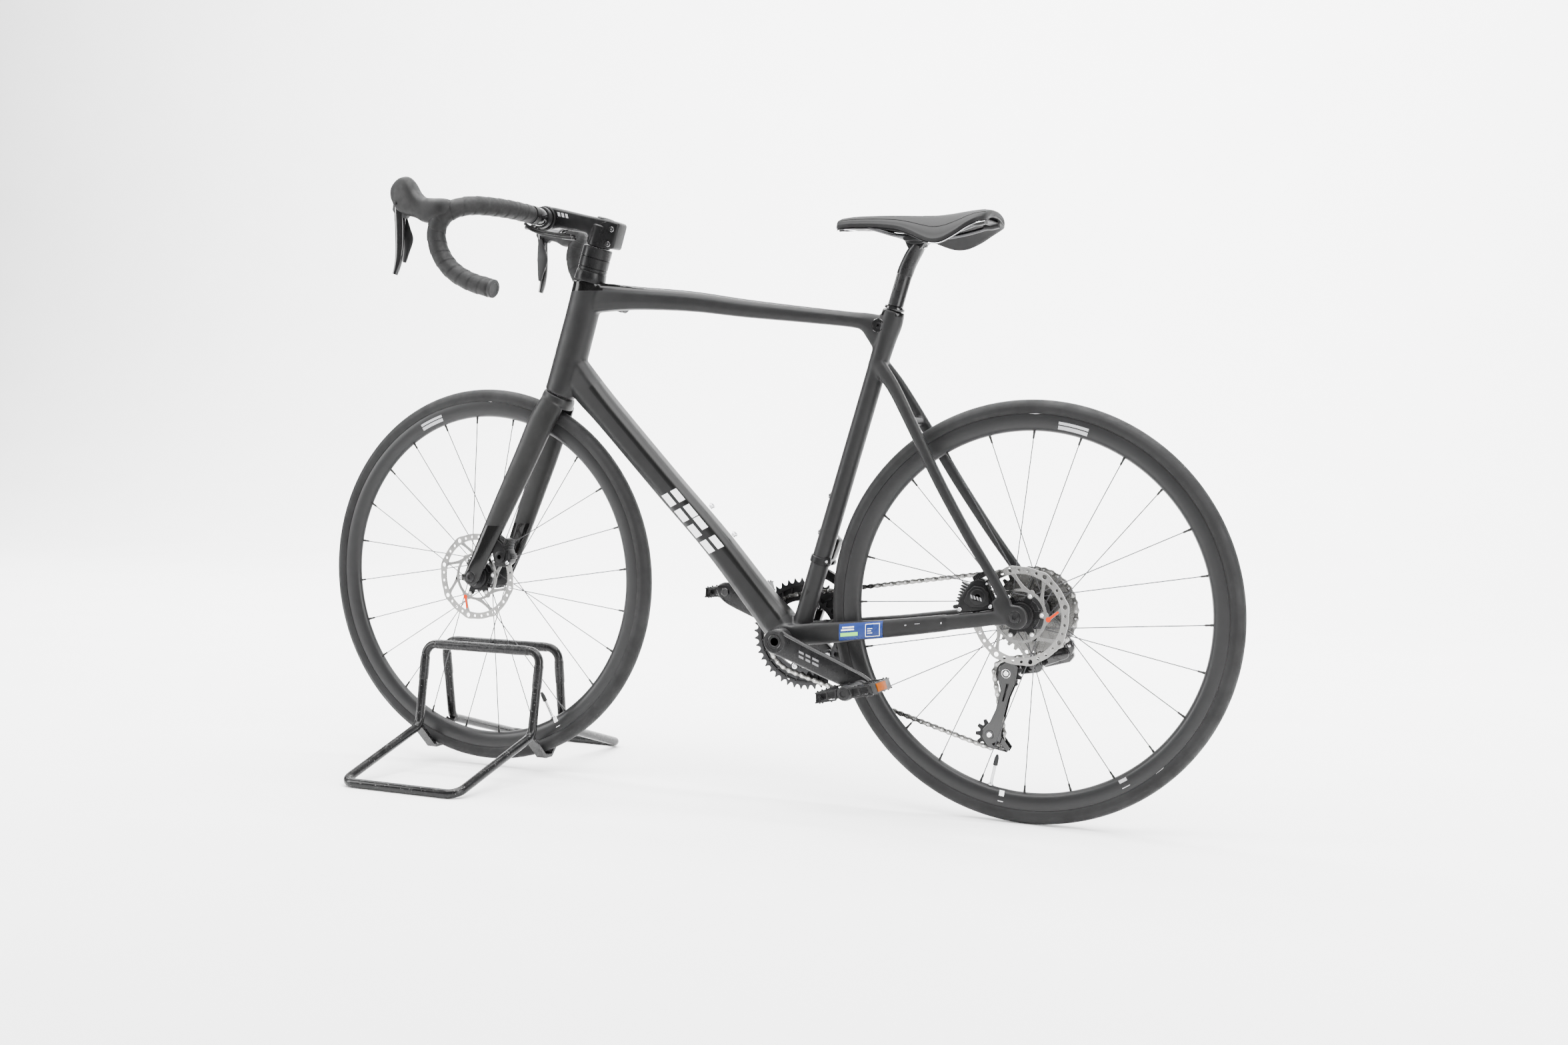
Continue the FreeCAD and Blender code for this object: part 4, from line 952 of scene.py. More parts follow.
def build_controls():
    rows = [
        (437, 214, 991, 12.5, 13), (446, 219.5, 991, 16.2, 16.6), (456, 221.6, 990, 18.6, 17.8),
        (474, 222, 988.5, 21, 18.4), (490, 222.5, 990.5, 21.5, 17.8), (503, 223, 999, 23.5, 17.6),
        (513, 223.6, 1009, 30, 17.4), (522, 224, 1014, 33, 16.8), (532, 224, 1016, 31.5, 16),
        (541, 224, 1017, 28, 15.2), (549, 224, 1019, 20, 12.6), (554, 224, 1020, 13, 9.5),
        (557, 224, 1020.5, 5.5, 4.5),
    ]
    hood = member("hood", rows, superoval(2.5, 40), 5, upright=True, sharp=70)
    pin = lathe("pin", [(0, 2.4), (0.5, 3.0), (1.2, 3.0)], (541, 240.4, 1002), (0, -1, 0), 20)
    fit(
        "hood_covers", [hood, mirrored(hood, "other")], "fork", M["hood"], "hood_rubber", "lever_hoods",
        sharp=70
    )
    bracket = plate(
        "bracket",
        [(519, 1001), (526, 1008), (551, 1006), (553, 992), (545, 979), (527, 977), (519, 985)], 218.6,
        230.4, 2.0
    )
    boots = join("lever_brackets", [bracket, mirrored(bracket, "other"), pin, mirrored(pin, "p2")], 40)
    place(boots, "fork", M["plastic"], "black_plastic")
    blade_rows = [
        (542, 224.5, 1005, 8, 7.5), (541, 224.5, 993, 9.5, 8), (540.5, 224.6, 980, 9.5, 7.5),
        (540, 225, 962, 9, 6.4), (539.5, 226, 938, 8.5, 5.6), (540.5, 227, 915, 7.2, 5.0),
        (543.5, 228.2, 897, 5.8, 4.6), (548, 229, 883, 4.4, 4.0),
    ]
    blade = member("brake_lever_blade_left", blade_rows, superoval(2.8, 32), 6, sharp=60)
    other = mirrored(blade, "brake_lever_blade_right")
    place(blade, "brake_lever_left", M["gloss_black"], "black_alloy", "brake_lever_left")
    place(other, "brake_lever_right", M["gloss_black"], "black_alloy", "brake_lever_right")
    paddle_rows = [
        (539, 213.2, 984, 3.5, 2.0), (538, 213.4, 972, 6.5, 2.4), (536, 213.6, 958, 9.5, 2.8),
        (534, 212.8, 946, 11.5, 3.0), (534.5, 212.6, 937, 10.5, 2.8), (537, 212.6, 924, 7.5, 2.6),
        (539, 213, 912, 5, 2.4), (540, 213.4, 904, 3, 2.0),
    ]
    paddle = member("shift_paddle_blade_left", paddle_rows, superoval(3.0, 24), 5, sharp=50)
    second = mirrored(paddle, "shift_paddle_blade_right")
    place(paddle, "shift_paddle_left", M["plastic"], "black_plastic", "shift_paddle_left")
    place(second, "shift_paddle_right", M["plastic"], "black_plastic", "shift_paddle_right")


def build_badge():
    """Blank round badge that follows the front of the head tube."""
    rings = []
    for i in range(17):
        level = -15.0 + 30.0 * i / 16
        half = math.sqrt(max(0.0, 15.6 ** 2 - level ** 2))
        base = steer(745.0, -3) + AXIS * level
        outside, inside = [], []
        for j in range(13):
            reach = half * (-1 + 2 * j / 12)
            sine = max(-0.98, min(0.98, reach / 24.4))
            bow = (1 - abs(sine) ** 2.2) ** (1 / 2.2)
            outside.append(base + ACROSS * (30.55 * bow + 0.55) + Y * reach)
            inside.append(base + ACROSS * (30.55 * bow - 1.2) + Y * reach)
        rings.append(outside + inside[::-1])
    place(skin("head_badge", rings), "frame", M["white"], "frame_paint")


# Wheels
def build_wheel(prefix, centre, flanges, phase, valve_angle, rotor_y, rotor_phase, tabs):
    """Tyre, rim, spokes, hub, disc and valve; flanges are the left and right y, angles are in degrees."""
    body = prefix + "_wheel"
    mid = TYRE_R - SECTION_R
    outer = []
    for i in range(41):
        a = math.radians(-140 + 280 * i / 40)
        r, y = mid + SECTION_R * math.cos(a), SECTION_R * math.sin(a)
        if abs(math.degrees(a)) in (77.0, 84.0):
            y *= 1.025
        outer.append((r, y))
    outer = [(r, y) for r, y in outer if r > RIM_OUTER + 0.2]
    low, high = outer[0], outer[-1]
    lip = [
        (RIM_OUTER + 0.2, high[1] - 0.6), (RIM_OUTER + 0.2, high[1] - 4.5), (RIM_OUTER + 5, 5.0),
        (RIM_OUTER + 5, -5.0), (RIM_OUTER + 0.2, low[1] + 4.5), (RIM_OUTER + 0.2, low[1] + 0.6)
    ]
    tyre = revolve(prefix + "_tyre_tread", outer + lip, centre, 240, 50)
    place(tyre, body, tyre_rubber(centre), "tyre", prefix + "_tyre")
    o, w = RIM_OUTER, RIM_HALF
    half = [
        (o, w - 2.4), (o, w - 0.4), (o - 1.2, w), (o - 9, w - 0.1), (o - 15, w - 0.6), (o - 20, w - 2.0),
        (o - 24, w - 4.4), (RIM_INNER + 1.2, w - 7.6), (RIM_INNER, 0.8)
    ]
    well = [(o - 5, -(w - 3.0)), (o - 8, -3), (o - 8, 3), (o - 5, w - 3.0)]
    profile = half + [(r, -y) for r, y in reversed(half)] + well
    rim = revolve("rim", profile, centre, 240, 45)
    place(rename(rim, prefix + "_rim_hoop"), body, M["rim"], "rim", prefix + "_rim")
    build_spokes(prefix, body, centre, flanges, phase)
    build_hub(prefix, body, centre, flanges)
    build_rotor(prefix, body, centre, rotor_y, rotor_phase, tabs)
    build_valve(prefix, body, centre, valve_angle)


def build_spokes(prefix, body, centre, flanges, phase):
    wires, nipples = [], []
    for k in range(SPOKES):
        angle = math.radians(phase + 360 / SPOKES * k)
        flange = flanges[0] if k % 2 == 0 else flanges[1]
        lead = 1 if (k // 2) % 2 == 0 else -1
        x, z = polar(centre, 24.5, angle + lead * math.radians(60))
        start = Vector((x, flange + lead * 1.8, z))
        x, z = polar(centre, RIM_INNER + 0.6, angle)
        tip = Vector((x, math.copysign(2.0, flange), z))
        way = (tip - start).normalized()
        length = (tip - start).length
        wires.append(lathe(
            "wire", [(0, 1.0), (4, 1.0), (12, 0.85), (length - 16, 0.85), (length - 8, 1.0)], start, way,
            8
        ))
        elbow = lathe("head", [(-1.2, 1.2), (0, 1.5), (1.2, 1.2)], start, (0, 1, 0), 8)
        wires.append(elbow)
        nipples.append(lathe(
            "nipple", [(0, 1.2), (0.6, 1.7), (8, 1.7), (8.4, 2.1), (13, 2.1)], tip - way * 12.5, way, 10
        ))
    fit(prefix + "_spoke_wires", wires, body, M["spoke"], "spoke", prefix + "_spokes", sharp=50)
    fit(prefix + "_nipples", nipples, body, M["nipple"], "spoke", sharp=50)


def build_hub(prefix, body, centre, flanges):
    left, right = flanges
    if prefix == "front":
        profile = [
            (-49.6, 7.5), (-49.2, 9.5), (-44, 9.8), (-43, 12.5), (-37, 13.2), (right - 5, 16),
            (right - 3.6, 25.6), (right - 2.6, 26.8), (right + 2.6, 26.8), (right + 3.8, 25),
            (right + 7, 13.5), (-6, 11.6), (6, 11.6), (left - 8, 13.5), (left - 3.8, 25),
            (left - 2.6, 26.8), (left + 2.6, 26.8), (left + 3.6, 25.6), (29.5, 18.0), (35.5, 18.2),
            (36, 16.9), (42.5, 16.9), (43, 11.5), (48, 9.6), (49.6, 9.2), (49.6, 6.4),
        ]
    else:
        profile = [
            (-24.0, 14), (right - 3.6, 24), (right - 2.6, 27.6), (right + 2.6, 27.6), (right + 4, 25),
            (right + 9, 15), (2, 12.6), (16, 12.8), (left - 7, 14.5), (left - 3.6, 25),
            (left - 2.6, 26.8), (left + 2.6, 26.8), (left + 3.4, 25.4), (41, 18.2), (47.8, 18.2),
            (48.2, 16.9), (55, 16.9), (55.6, 12.4), (62, 11.2), (70, 9.6), (70.5, 6.4),
        ]
    start = profile[0][0]
    shell = lathe("hub", [(d - start, r) for d, r in profile], (centre[0], start, centre[1]), (0, 1, 0), 72)
    place(rename(shell, prefix + "_hub_shell"), body, M["black_alloy"], "black_alloy", prefix + "_hub")


def build_rotor(prefix, body, centre, y, phase, tabs):
    """Brake disc: scalloped and drilled track, swept struts and a riveted black carrier."""
    edge = []
    for i in range(480):
        a = 2 * math.pi * i / 480
        near = math.cos(SCALLOPS * (a - math.radians(phase)))
        edge.append(polar(centre, 77.6 + 2.3 * max(0.0, near) ** 1.6, a))
    track = plate("track", edge, y - 0.9, y + 0.9, 0.12, segments=1)
    apply_modifiers(track)

    def hole(at, radius, steps):
        return lathe("hole", [(0, radius), (6, radius)], (at[0], y - 3, at[1]), (0, 1, 0), steps)

    cutters = [hole(centre, 66.2, 144)]
    for k in range(SCALLOPS):
        a = math.radians(phase + 360 / SCALLOPS * k)
        cutters.append(hole(polar(centre, 73.4, a), 3.9, 24))
        for m in (1, 2, 3):
            cutters.append(hole(polar(centre, 72.0, a + math.radians(11.25 * m)), 2.5, 20))
    carve(track, join("holes", cutters))
    web = [
        track,
        revolve("ring", [(38.6, y - 0.9), (43.0, y - 0.9), (43.0, y + 0.9), (38.6, y + 0.9)], centre, 120)
    ]
    sweep = [
        (68.0, 2.5, 4.2), (61.0, 5.5, 2.6), (52.0, 11.5, 2.4), (45.5, 18.0, 3.0), (42.0, 26.0, 3.0),
        (40.6, 38.0, 1.6)
    ]
    for k in range(SCALLOPS):
        left, right = [], []
        start = phase + 360 / SCALLOPS * k
        spine = spline(
            [Vector((*polar(centre, r, math.radians(start + turn)), half)) for r, turn, half in sweep], 5
        )
        for i, p in enumerate(spine):
            step = spine[min(i + 1, len(spine) - 1)] - spine[max(i - 1, 0)]
            side = Vector((-step.y, step.x, 0)).normalized() * p.z
            left.append((p.x + side.x, p.y + side.y))
            right.append((p.x - side.x, p.y - side.y))
        web.append(plate("strut", left + right[::-1], y - 0.88, y + 0.88, 0.12, segments=1))
    rivets = []
    for k in range(ROTOR_TABS):
        a = math.radians(tabs + 360 / ROTOR_TABS * k)
        inner, outer = polar(centre, 35.0, a), polar(centre, 40.0, a)
        web.append(plate("tab", capsule(inner, 4.4, outer, 5.6, 10), y - 0.88, y + 0.88, 0.12, segments=1))
        rivets.append(lathe(
            "rivet", [(0, 2.9), (4.0, 2.9), (4.5, 2.4), (4.5, 0.8), (4.1, 0.6)],
            (inner[0], y - 2.6, inner[1]), (0, 1, 0), 24
        ))
    fit(prefix + "_rotor_disc", web, body, rotor_steel(centre), "rotor", prefix + "_rotor", sharp=35)
    fit(prefix + "_rotor_rivets", rivets, body, M["bright"], "rotor")
    star = []
    for i in range(216):
        a = 2 * math.pi * i / 216
        lobe = max(0.0, math.cos(ROTOR_TABS * (a - math.radians(tabs)))) ** 0.8
        notch = 1.3 if math.cos(36 * a) > 0.2 and lobe < 0.35 else 0.0
        star.append(polar(centre, 25.5 + 12.5 * lobe - notch, a))
    carrier = plate("carrier", star, y - 2.3, y - 0.95, 0.3, segments=1)
    lock = lathe(
        "lock", [(0, 21.0), (2.4, 21.0), (3.2, 20.0), (3.2, 13.5), (2.0, 12.8)],
        (centre[0], y - 1.1, centre[1]), (0, 1, 0), 64
    )
    fit(prefix + "_rotor_carrier", [carrier, lock], body, M["satin_black"], "rotor")
    painted_strut = 6 if prefix == "front" else 3
    a = phase + 360 / SCALLOPS * painted_strut
    foot, tip = polar(centre, 45.5, math.radians(a + 18.0)), polar(centre, 61.0, math.radians(a + 5.5))
    paint = [
        plate("paint", capsule(foot, 1.9, tip, 1.7, 6), y + 0.9, y + 1.06, 0),
        lathe("dot", [(0, 4.0), (0.3, 4.0)], (foot[0], y + 0.8, foot[1]), (0, 1, 0), 24)
    ]
    fit(prefix + "_rotor_mark", paint, body, M["orange"], "rotor")


def build_valve(prefix, body, centre, angle):
    """Valve with its cap, and the printed patches on the rim."""
    a = math.radians(angle)
    way = Vector((-math.cos(a), 0, -math.sin(a)))
    x, z = polar(centre, RIM_INNER, a)
    base = Vector((x, 0, z))
    stem = lathe(
        "stem",
        [(0, 4.6), (2.6, 4.6), (3.2, 2.9)] + [
            (4 + i * 0.9, 2.5 + 0.25 * (i % 2)) for i in range(32)
        ] + [(33.5, 2.2)],
        base, way, 20
    )
    cap = lathe("cap", [(0, 3.7), (1, 4.0), (12, 3.6), (16.5, 2.4), (18, 1.6)], base + way * 33.5, way, 20)
    place(rename(stem, prefix + "_valve_stem"), body, M["steel"], "valve", prefix + "_valve")
    place(rename(cap, prefix + "_valve_cap"), body, M["plastic"], "valve")
    # Angles of the white strip and of the grey label
    strip, grey = (-120.3, 67.0) if prefix == "front" else (-82.5, 103.0)
    patches = [
        rim_patch(centre, strip - 0.8, strip + 0.8, RIM_OUTER - 26, RIM_OUTER - 8, side, 3)
        for side in (1, -1)
    ]
    fit(prefix + "_rim_strips", patches, body, M["white"], "rim", sharp=None)
    labels = [
        rim_patch(centre, grey - 4.6, grey + 4.6, RIM_OUTER - 21, RIM_OUTER - 9, side, 12)
        for side in (1, -1)
    ]
    if prefix == "rear":
        labels.append(rim_patch(centre, -123.2, -120.6, RIM_OUTER - 21, RIM_OUTER - 7, 1, 4))
    fit(prefix + "_rim_labels", labels, body, M["label"], "rim", sharp=None)


def rim_patch(centre, a0, a1, r0, r1, side, steps):
    """A thin blank label lying on the rim's flank."""
    rings = []
    for i in range(steps + 1):
        a = math.radians(a0 + (a1 - a0) * i / steps)
        ring = []
        for r, lift in ((r0, 0.12), (r1, 0.12), (r1, -0.1), (r0, -0.1)):
            y = RIM_HALF - 0.1 - max(0.0, (RIM_OUTER - 9 - r)) ** 1.6 * 0.025
            x, z = polar(centre, r, a)
            ring.append((x, side * (y + lift), z))
        rings.append(ring)
    return skin("patch", rings, sharp=30)


# Saddle and seatpost
SADDLE = [
    (-174.5, 7, 968, 4), (-178, 12.5, 971, 6), (-186, 17, 973, 8), (-200, 20, 974.5, 9),
    (-215, 21, 975.2, 10), (-255, 25, 975, 12), (-290, 33, 973.8, 16), (-315, 42, 972.6, 23),
    (-338, 52, 971.6, 32), (-358, 60.5, 971.4, 38.5), (-378, 66, 972.8, 39), (-400, 69.5, 975.2, 32),
    (-418, 69.5, 977, 23), (-432, 66, 977.6, 16.5), (-441, 58, 977, 12.5), (-446, 47, 975.8, 9),
]
PAD_DEPTH = 8.6
DIP_REAR, DIP_FRONT, DIP_STEP = -420, -222, -330


def saddle_top(row, t):
    """Height of the top skin at t from -1 to 1 across the saddle, with the channel along its middle."""
    x, _, top, drop = row
    dip = 0.0
    if DIP_REAR < x < DIP_FRONT:
        along = min(1.0, (x - DIP_REAR) / 25, (DIP_FRONT - x) / 25)
        wide = 0.20 if x < DIP_STEP else 0.30
        dip = 2.6 * along * max(0.0, 1 - (abs(t) / wide) ** 2)
    return top - drop * abs(t) ** 2.6 - dip


def saddle_ring(row, inset, upper, lower, across):
    """Closed section: over the top skin, round the edge and back underneath."""
    x, half, _, _ = row
    scale = (half - inset) / half
    points = []
    for i in range(across + 1):
        t = -1 + 2 * i / across
        roll = max(0.0, abs(t) - 0.90) / 0.10
        points.append((x, half * scale * t, saddle_top(row, t) - upper - 1.9 * roll ** 2.2))
    depth = lower - upper
    for i in range(1, 6):
        a = math.pi * i / 6
        edge = saddle_top(row, 1.0) - upper - 1.9
        points.append((x, half * scale + 0.9 * math.sin(a), edge - (depth - 1.9) * (1 - math.cos(a)) / 2))
    for i in range(across + 1):
        t = 1 - 2 * i / across
        points.append((x, (half * scale - 1.2) * t, saddle_top(row, t) - lower))
    for i in range(5, 0, -1):
        a = math.pi * i / 6
        edge = saddle_top(row, -1.0) - upper - 1.9
        points.append((x, -half * scale - 0.9 * math.sin(a), edge - (depth - 1.9) * (1 - math.cos(a)) / 2))
    return points


def rounded_ends(rows, upper, lower):
    """Shrinks the first and last sections so that the nose and tail turn over softly."""
    rings = []
    count = len(rows)
    for i, row in enumerate(rows):
        rings.append(saddle_ring(row, 0.0, upper, lower, 44))
    for order in (range(0, 4), range(count - 1, count - 5, -1)):
        for step, i in enumerate(order):
            squeeze = math.sqrt(max(0.0, 1 - ((4 - step) / 4.3) ** 2.4))
            mid = sum(p[2] for p in rings[i]) / len(rings[i])
            rings[i] = [
                (x, y * (0.80 + 0.20 * squeeze), mid + (z - mid) * (0.35 + 0.65 * squeeze))
                for x, y, z in rings[i]
            ]
    return rings


def build_saddle():
    rows = blended(SADDLE, 9)
    pad = skin("saddle_cushion", rounded_ends(rows, 0.0, PAD_DEPTH), sharp=80)
    place(pad, "seatpost", M["saddle"], "saddle_cover", "saddle_pad")
    seams = []
    for side in (1, -1):
        line = []
        for row in rows[8:-6]:
            t = 0.80
            line.append((row[0], side * row[1] * t, saddle_top(row, t) + 0.15))
        seams.append(tube("seam", line, 0.55, 8))
    groove = []
    for row in rows[14:-16]:
        wide = 0.23 if row[0] < DIP_STEP else 0.33
        groove.append((row[0], row[1] * wide, saddle_top(row, wide) + 0.05))
    groove_other = [(x, -y, z) for x, y, z in groove]
    seams += [tube("seam", groove, 0.5, 8), tube("seam", groove_other, 0.5, 8)]
    fit("saddle_seams", seams, "seatpost", M["satin_black"], "saddle_cover", sharp=None)
    shell_rows = rows[1:-1]
    hull = [saddle_ring(r, 2.0, PAD_DEPTH - 0.2, PAD_DEPTH + 2.6, 36) for r in shell_rows]
    shell = skin("hull", hull, sharp=60)
    nose = member(
        "nose",
        [
            (-190, 0, 959.5, 3.0, 13), (-200, 0, 958.5, 4, 16), (-218, 0, 957.5, 4, 18),
            (-232, 0, 958.5, 3, 17)
        ],
        BOXY
    )
    sockets = [nose]
    for side in (1, -1):
        sockets.append(member(
            "socket",
            [
                (-416, side * 31, 955, 5, 6), (-428, side * 32.5, 957, 7.5, 7.5),
                (-440, side * 34, 959, 7, 7)
            ],
            BOXY
        ))
    fit("saddle_hull", [shell] + sockets, "seatpost", M["plastic"], "saddle_shell", "saddle_shell", sharp=50)
    bridge = plate("bridge", [(-441, 958), (-428, 955), (-427, 958.5), (-440, 961.5)], -36, 36, 1.0)
    ribs = [bridge]
    for y in (-30, -15, 0, 15, 30):
        ribs.append(plate("rib", [(-432, 972), (-400, 970), (-402, 966), (-430, 962)], y - 1, y + 1, 0.3))
    fit("saddle_ribs", ribs, "seatpost", M["plastic"], "saddle_shell")
    path = spline([
        (-208, 10, 960), (-228, 15, 957.5), (-258, 21, 949), (-286, 22.4, 941), (-318, 22.5, 938.5),
        (-360, 23, 940), (-392, 26, 945), (-418, 30, 952), (-431, 33, 955.5),
    ], 12)
    rail = tube("rail", path, 3.5, 20)
    fit(
        "saddle_rail_pair", [rail, mirrored(rail, "other")], "seatpost", M["rail"], "rail",
        "saddle_rails", sharp=50
    )
    trims = [plate("tip", [(-184, 956.5), (-206, 954.2), (-206, 953.2), (-184, 955.4)], -9, 9, 0.3)]
    for side in (1, -1):
        line = [
            (r[0], side * (r[1] - 1.2), saddle_top(r, 1.0) - PAD_DEPTH - 1.6) for r in rows
            if -444 < r[0] < -352
        ]
        trims.append(tube("trim", line, 0.8, 8))
    fit("saddle_trims", trims, "seatpost", M["bright"], "saddle_shell")


def build_seatpost():
    axis = Vector((-LEAN, 0, 1)).normalized()
    length = (884 - 640) * math.sqrt(1 + LEAN * LEAN)
    shaft = lathe(
        "shaft", [(0, 12.5), (1, POST_R), (length, POST_R), (length + 0.5, 12.3)], seat(640), axis, 56
    )
    joint = lathe("collar", [(0, 12.6), (0.8, 13.3), (6, 13.3), (7, 13.2)], seat(878), axis, 56)
    head = member("head", [
        (*seat(884, -0.4), 13.0, 13.3), (*seat(893, -1.2), 12.8, 13.4), (-304, 0, 905, 12.6, 13.8),
        (-310, 0, 915, 12.2, 14.4), (-315, 0, 922, 10.5, 15.5), (-317, 0, 925.5, 8, 16),
    ], superoval(2.3))
    fork_up = plate(
        "yoke",
        [
            (-334, 933), (-326, 922), (-316, 912), (-306, 914), (-300, 924), (-296, 933), (-306, 929),
            (-318, 927), (-328, 929)
        ],
        -12, 12, 2.5
    )
    fit("seatpost_shaft", [shaft, joint, head, fork_up], "seatpost", M["crank"], "black_alloy", "seatpost")
    under = arc(-317, 960, 34, 232, 308, 12) + arc(-317, 960, 26.5, 308, 232, 12)
    clamps = []
    for side in (1, -1):
        saddle_bed = plate(
            "bed",
            [
                (-337, 933), (-337, 937.5), (-331, 939.2), (-305, 938.8), (-299, 937), (-299, 932.5),
                (-306, 930.5), (-330, 930.5)
            ],
            side * 22.5 - 6, side * 22.5 + 6, 1.2
        )
        lid = plate(
            "lid",
            [(-334, 941.5), (-334, 944.5), (-329, 947.5), (-307, 947.5), (-302, 944.5), (-302, 941)],
            side * 22.5 - 6, side * 22.5 + 6, 1.5
        )
        clamps += [saddle_bed, lid]
    clamps.append(plate("cradle", under, -17, 17, 1.0))
    clamps.append(plate("crossbar", [(-323, 940), (-323, 945), (-313, 945), (-313, 940)], -22, 22, 1.0))
    fit("saddle_clamps", clamps, "seatpost", M["black_alloy"], "black_alloy", "saddle_clamp")
    bolts = [
        lathe(
            "bolt", [(0, 4.2), (0.6, 4.6), (8, 4.6), (8.6, 4.0), (8.6, 2.3), (5, 2.1)], (-309, 0, 929.5),
            (0.25, 0, -1), 24
        ),
        lathe("nut", [(0, 3.6), (5, 3.6), (5.6, 3.0)], (-327, 0, 926), (-0.3, 0, -1), 20),
        lathe("shank", [(0, 2.4), (16, 2.4)], (-309, 0, 929), (0, 0, 1), 16),
    ]
    fit("saddle_bolts", bolts, "seatpost", M["bright"], "steel")
    up = Vector((-LEAN, 0, 1)).normalized()
    ring = lathe("ring", [(0, 15.4), (0.5, 16.8), (2.6, 17.1), (5.2, 16.4), (6.0, 13.4)], seat(822.3), up, 56)
    lip = lathe("lip", [(0, 13.0), (0.8, 14.4), (1.6, 13.2)], seat(828.6), up, 56)
    plugs = []
    for side in (1, -1):
        plugs.append(lathe(
            "plug",
            [
                (0, 11.4), (1.4, 11.4), (2.2, 10.6), (2.2, 9.2), (1.0, 8.8), (1.0, 4.2), (2.4, 3.9),
                (2.4, 2.2), (0.6, 2.0)
            ],
            (-253, side * 14.2, 797), (0, side, 0), 48
        ))
    fit("seat_collar", [ring, lip] + plugs, "frame", M["gloss_black"], "black_plastic", "seat_clamp")


# Cranks, rings and pedals
def crank_end(side):
    reach = -1 if side > 0 else 1
    return BB[0] + reach * CRANK * math.cos(DROP), BB[1] - side * CRANK * math.sin(DROP)


def arm_angles():
    return [math.pi - DROP + math.radians(a) for a in (-140, -40, 55, 125)]


def build_crank(side):
    word = "left" if side > 0 else "right"
    body = "crank"
    x, z = crank_end(side)
    pivot = Vector((BB[0], 0, BB[1]))
    along = (Vector((x, 0, z)) - pivot).normalized()
    perp = Vector((-along.z, 0, along.x))
    rings = []
    shape = [
        (1.0, -0.30), (0.80, -0.62), (0.60, -1.0), (-0.40, -1.0), (-0.72, -0.70), (-1.0, -0.30),
        (-1.0, 0.42), (-0.86, 0.84), (-0.62, 1.0), (0.52, 1.0), (0.74, 0.80), (1.0, 0.22)
    ]
    if perp.z < 0:
        shape = [(-a, b) for a, b in shape][::-1]
    tail = [
        (60, 18.8, 69), (110, 18.4, 69), (150, 16.8, 69.2), (166, 15.5, 69.5), (179, 12.0, 69.5),
        (187, 6.0, 69.5)
    ]
    if side < 0:
        tail = [
            (60, 19.6, 69), (110, 20.4, 69), (150, 20.2, 69.2), (168, 18.8, 69.5), (182, 14.0, 69.5),
            (190, 7.0, 69.5)
        ]
    rows = blended([(-20, 7, 69), (-14, 15.5, 69), (0, 20.8, 69), (18, 20.2, 69)] + tail, 5)
    for d, w, y in rows:
        centre = pivot + along * d
        thick = 6.8 if d > 0 else 6.8 - 0.10 * abs(d)
        ring = [centre + perp * (a * w) + Vector((0, side * (y + b * thick), 0)) for a, b in shape]
        rings.append(ring)
    arm = skin("arm", rings, sharp=28)
    rounded(arm, 1.0, 2, 25)
    start = (BB[0], side * 77.0, BB[1])
    boss = lathe(
        "boss",
        [
            (2.0, 12.0), (0.2, 12.6), (0, 17.8), (1.4, 19.8), (4, 20.8), (30 if side > 0 else 35, 20.8),
            (31 if side > 0 else 36, 19.5)
        ],
        start, (0, -side, 0), 64
    )
    cup = lathe(
        "cup", [(0.8, 6.9), (0.2, 7.6), (0.2, 10.6), (1.6, 11.2), (3.0, 12.4)], start, (0, -side, 0), 48
    )
    well = lathe("well", [(9.0, 0.1), (9.0, 5.0), (6.0, 6.2), (0.8, 6.9)], start, (0, -side, 0), 48)
    # The well in the crank boss carries painted shade, so the bore reads as a dark hole
    place(rename(well, "crank_well_" + word), body, M["painted_shade"], "crank_alloy")
    axle = lathe("axle", [(70, 4.7), (91.5, 4.7)], (x, 0, z), (0, side, 0), 24)
    parts = [arm, boss, cup]
    if side < 0:
        parts.append(lathe("spindle", [(0, 12), (109.5, 12)], (BB[0], -40, BB[1]), (0, 1, 0), 48))
        for a in arm_angles():
            tip = polar(BB, SPIDER_R, a)
            foot = polar(BB, 8, a)
            parts.append(plate("spider", capsule(foot, 15.0, tip, 7.6, 10), -64, -50.3, 2.2, segments=3))
            parts.append(lathe("post", [(0, 6.2), (8.4, 6.2)], (tip[0], -50.6, tip[1]), (0, 1, 0), 24))
    fit("crank_arm_" + word, parts, body, M["crank"], "crank_alloy", "crank_" + word, sharp=32)
    place(rename(axle, "pedal_axle_" + word), body, M["steel"], "steel")
    seal = bead(BB, side * 76.2, 11.4, 24, 0.5)
    ridge = []
    lift = perp if perp.z > 0 else -perp
    for d, w, y in rows[6:-6]:
        centre = pivot + along * d
        ridge.append(centre + lift * (w * 0.80) + Vector((0, side * (y + 5.4), 0)))
    tip_plug = lathe(
        "tip", [(0, 6.6), (0.8, 7.2), (1.4, 6.6), (1.4, 3.4), (0.4, 3.0)], (x, side * 61.9, z),
        (0, -side, 0), 32
    )
    face_plug = lathe("face", [(0, 6.0), (0.7, 6.4), (1.1, 5.8)], (x, side * 75.9, z), (0, side, 0), 32)
    fit(
        "crank_caps_" + word, [seal, tip_plug, face_plug, tube("ridge", ridge, 0.8, 10)], body,
        M["gloss_black"], "crank_alloy"
    )
    bars = []
    for d0, d1 in ((48, 57), (61, 70), (74, 86)):
        for low, high in ((-5.4, -2.0), (1.6, 5.2)):
            quad = []
            for d, w in (
                (d0 + 0.35 * low, low), (d1 + 0.35 * low, low), (d1 + 0.35 * high, high),
                (d0 + 0.35 * high, high)
            ):
                p = pivot + along * d + perp * w
                quad.append((p.x, p.z))
            bars.append(plate("bar", quad, side * 75.78, side * 75.92, 0))
    fit("crank_marks_" + word, bars, body, M["faded"], "crank_alloy", sharp=None)


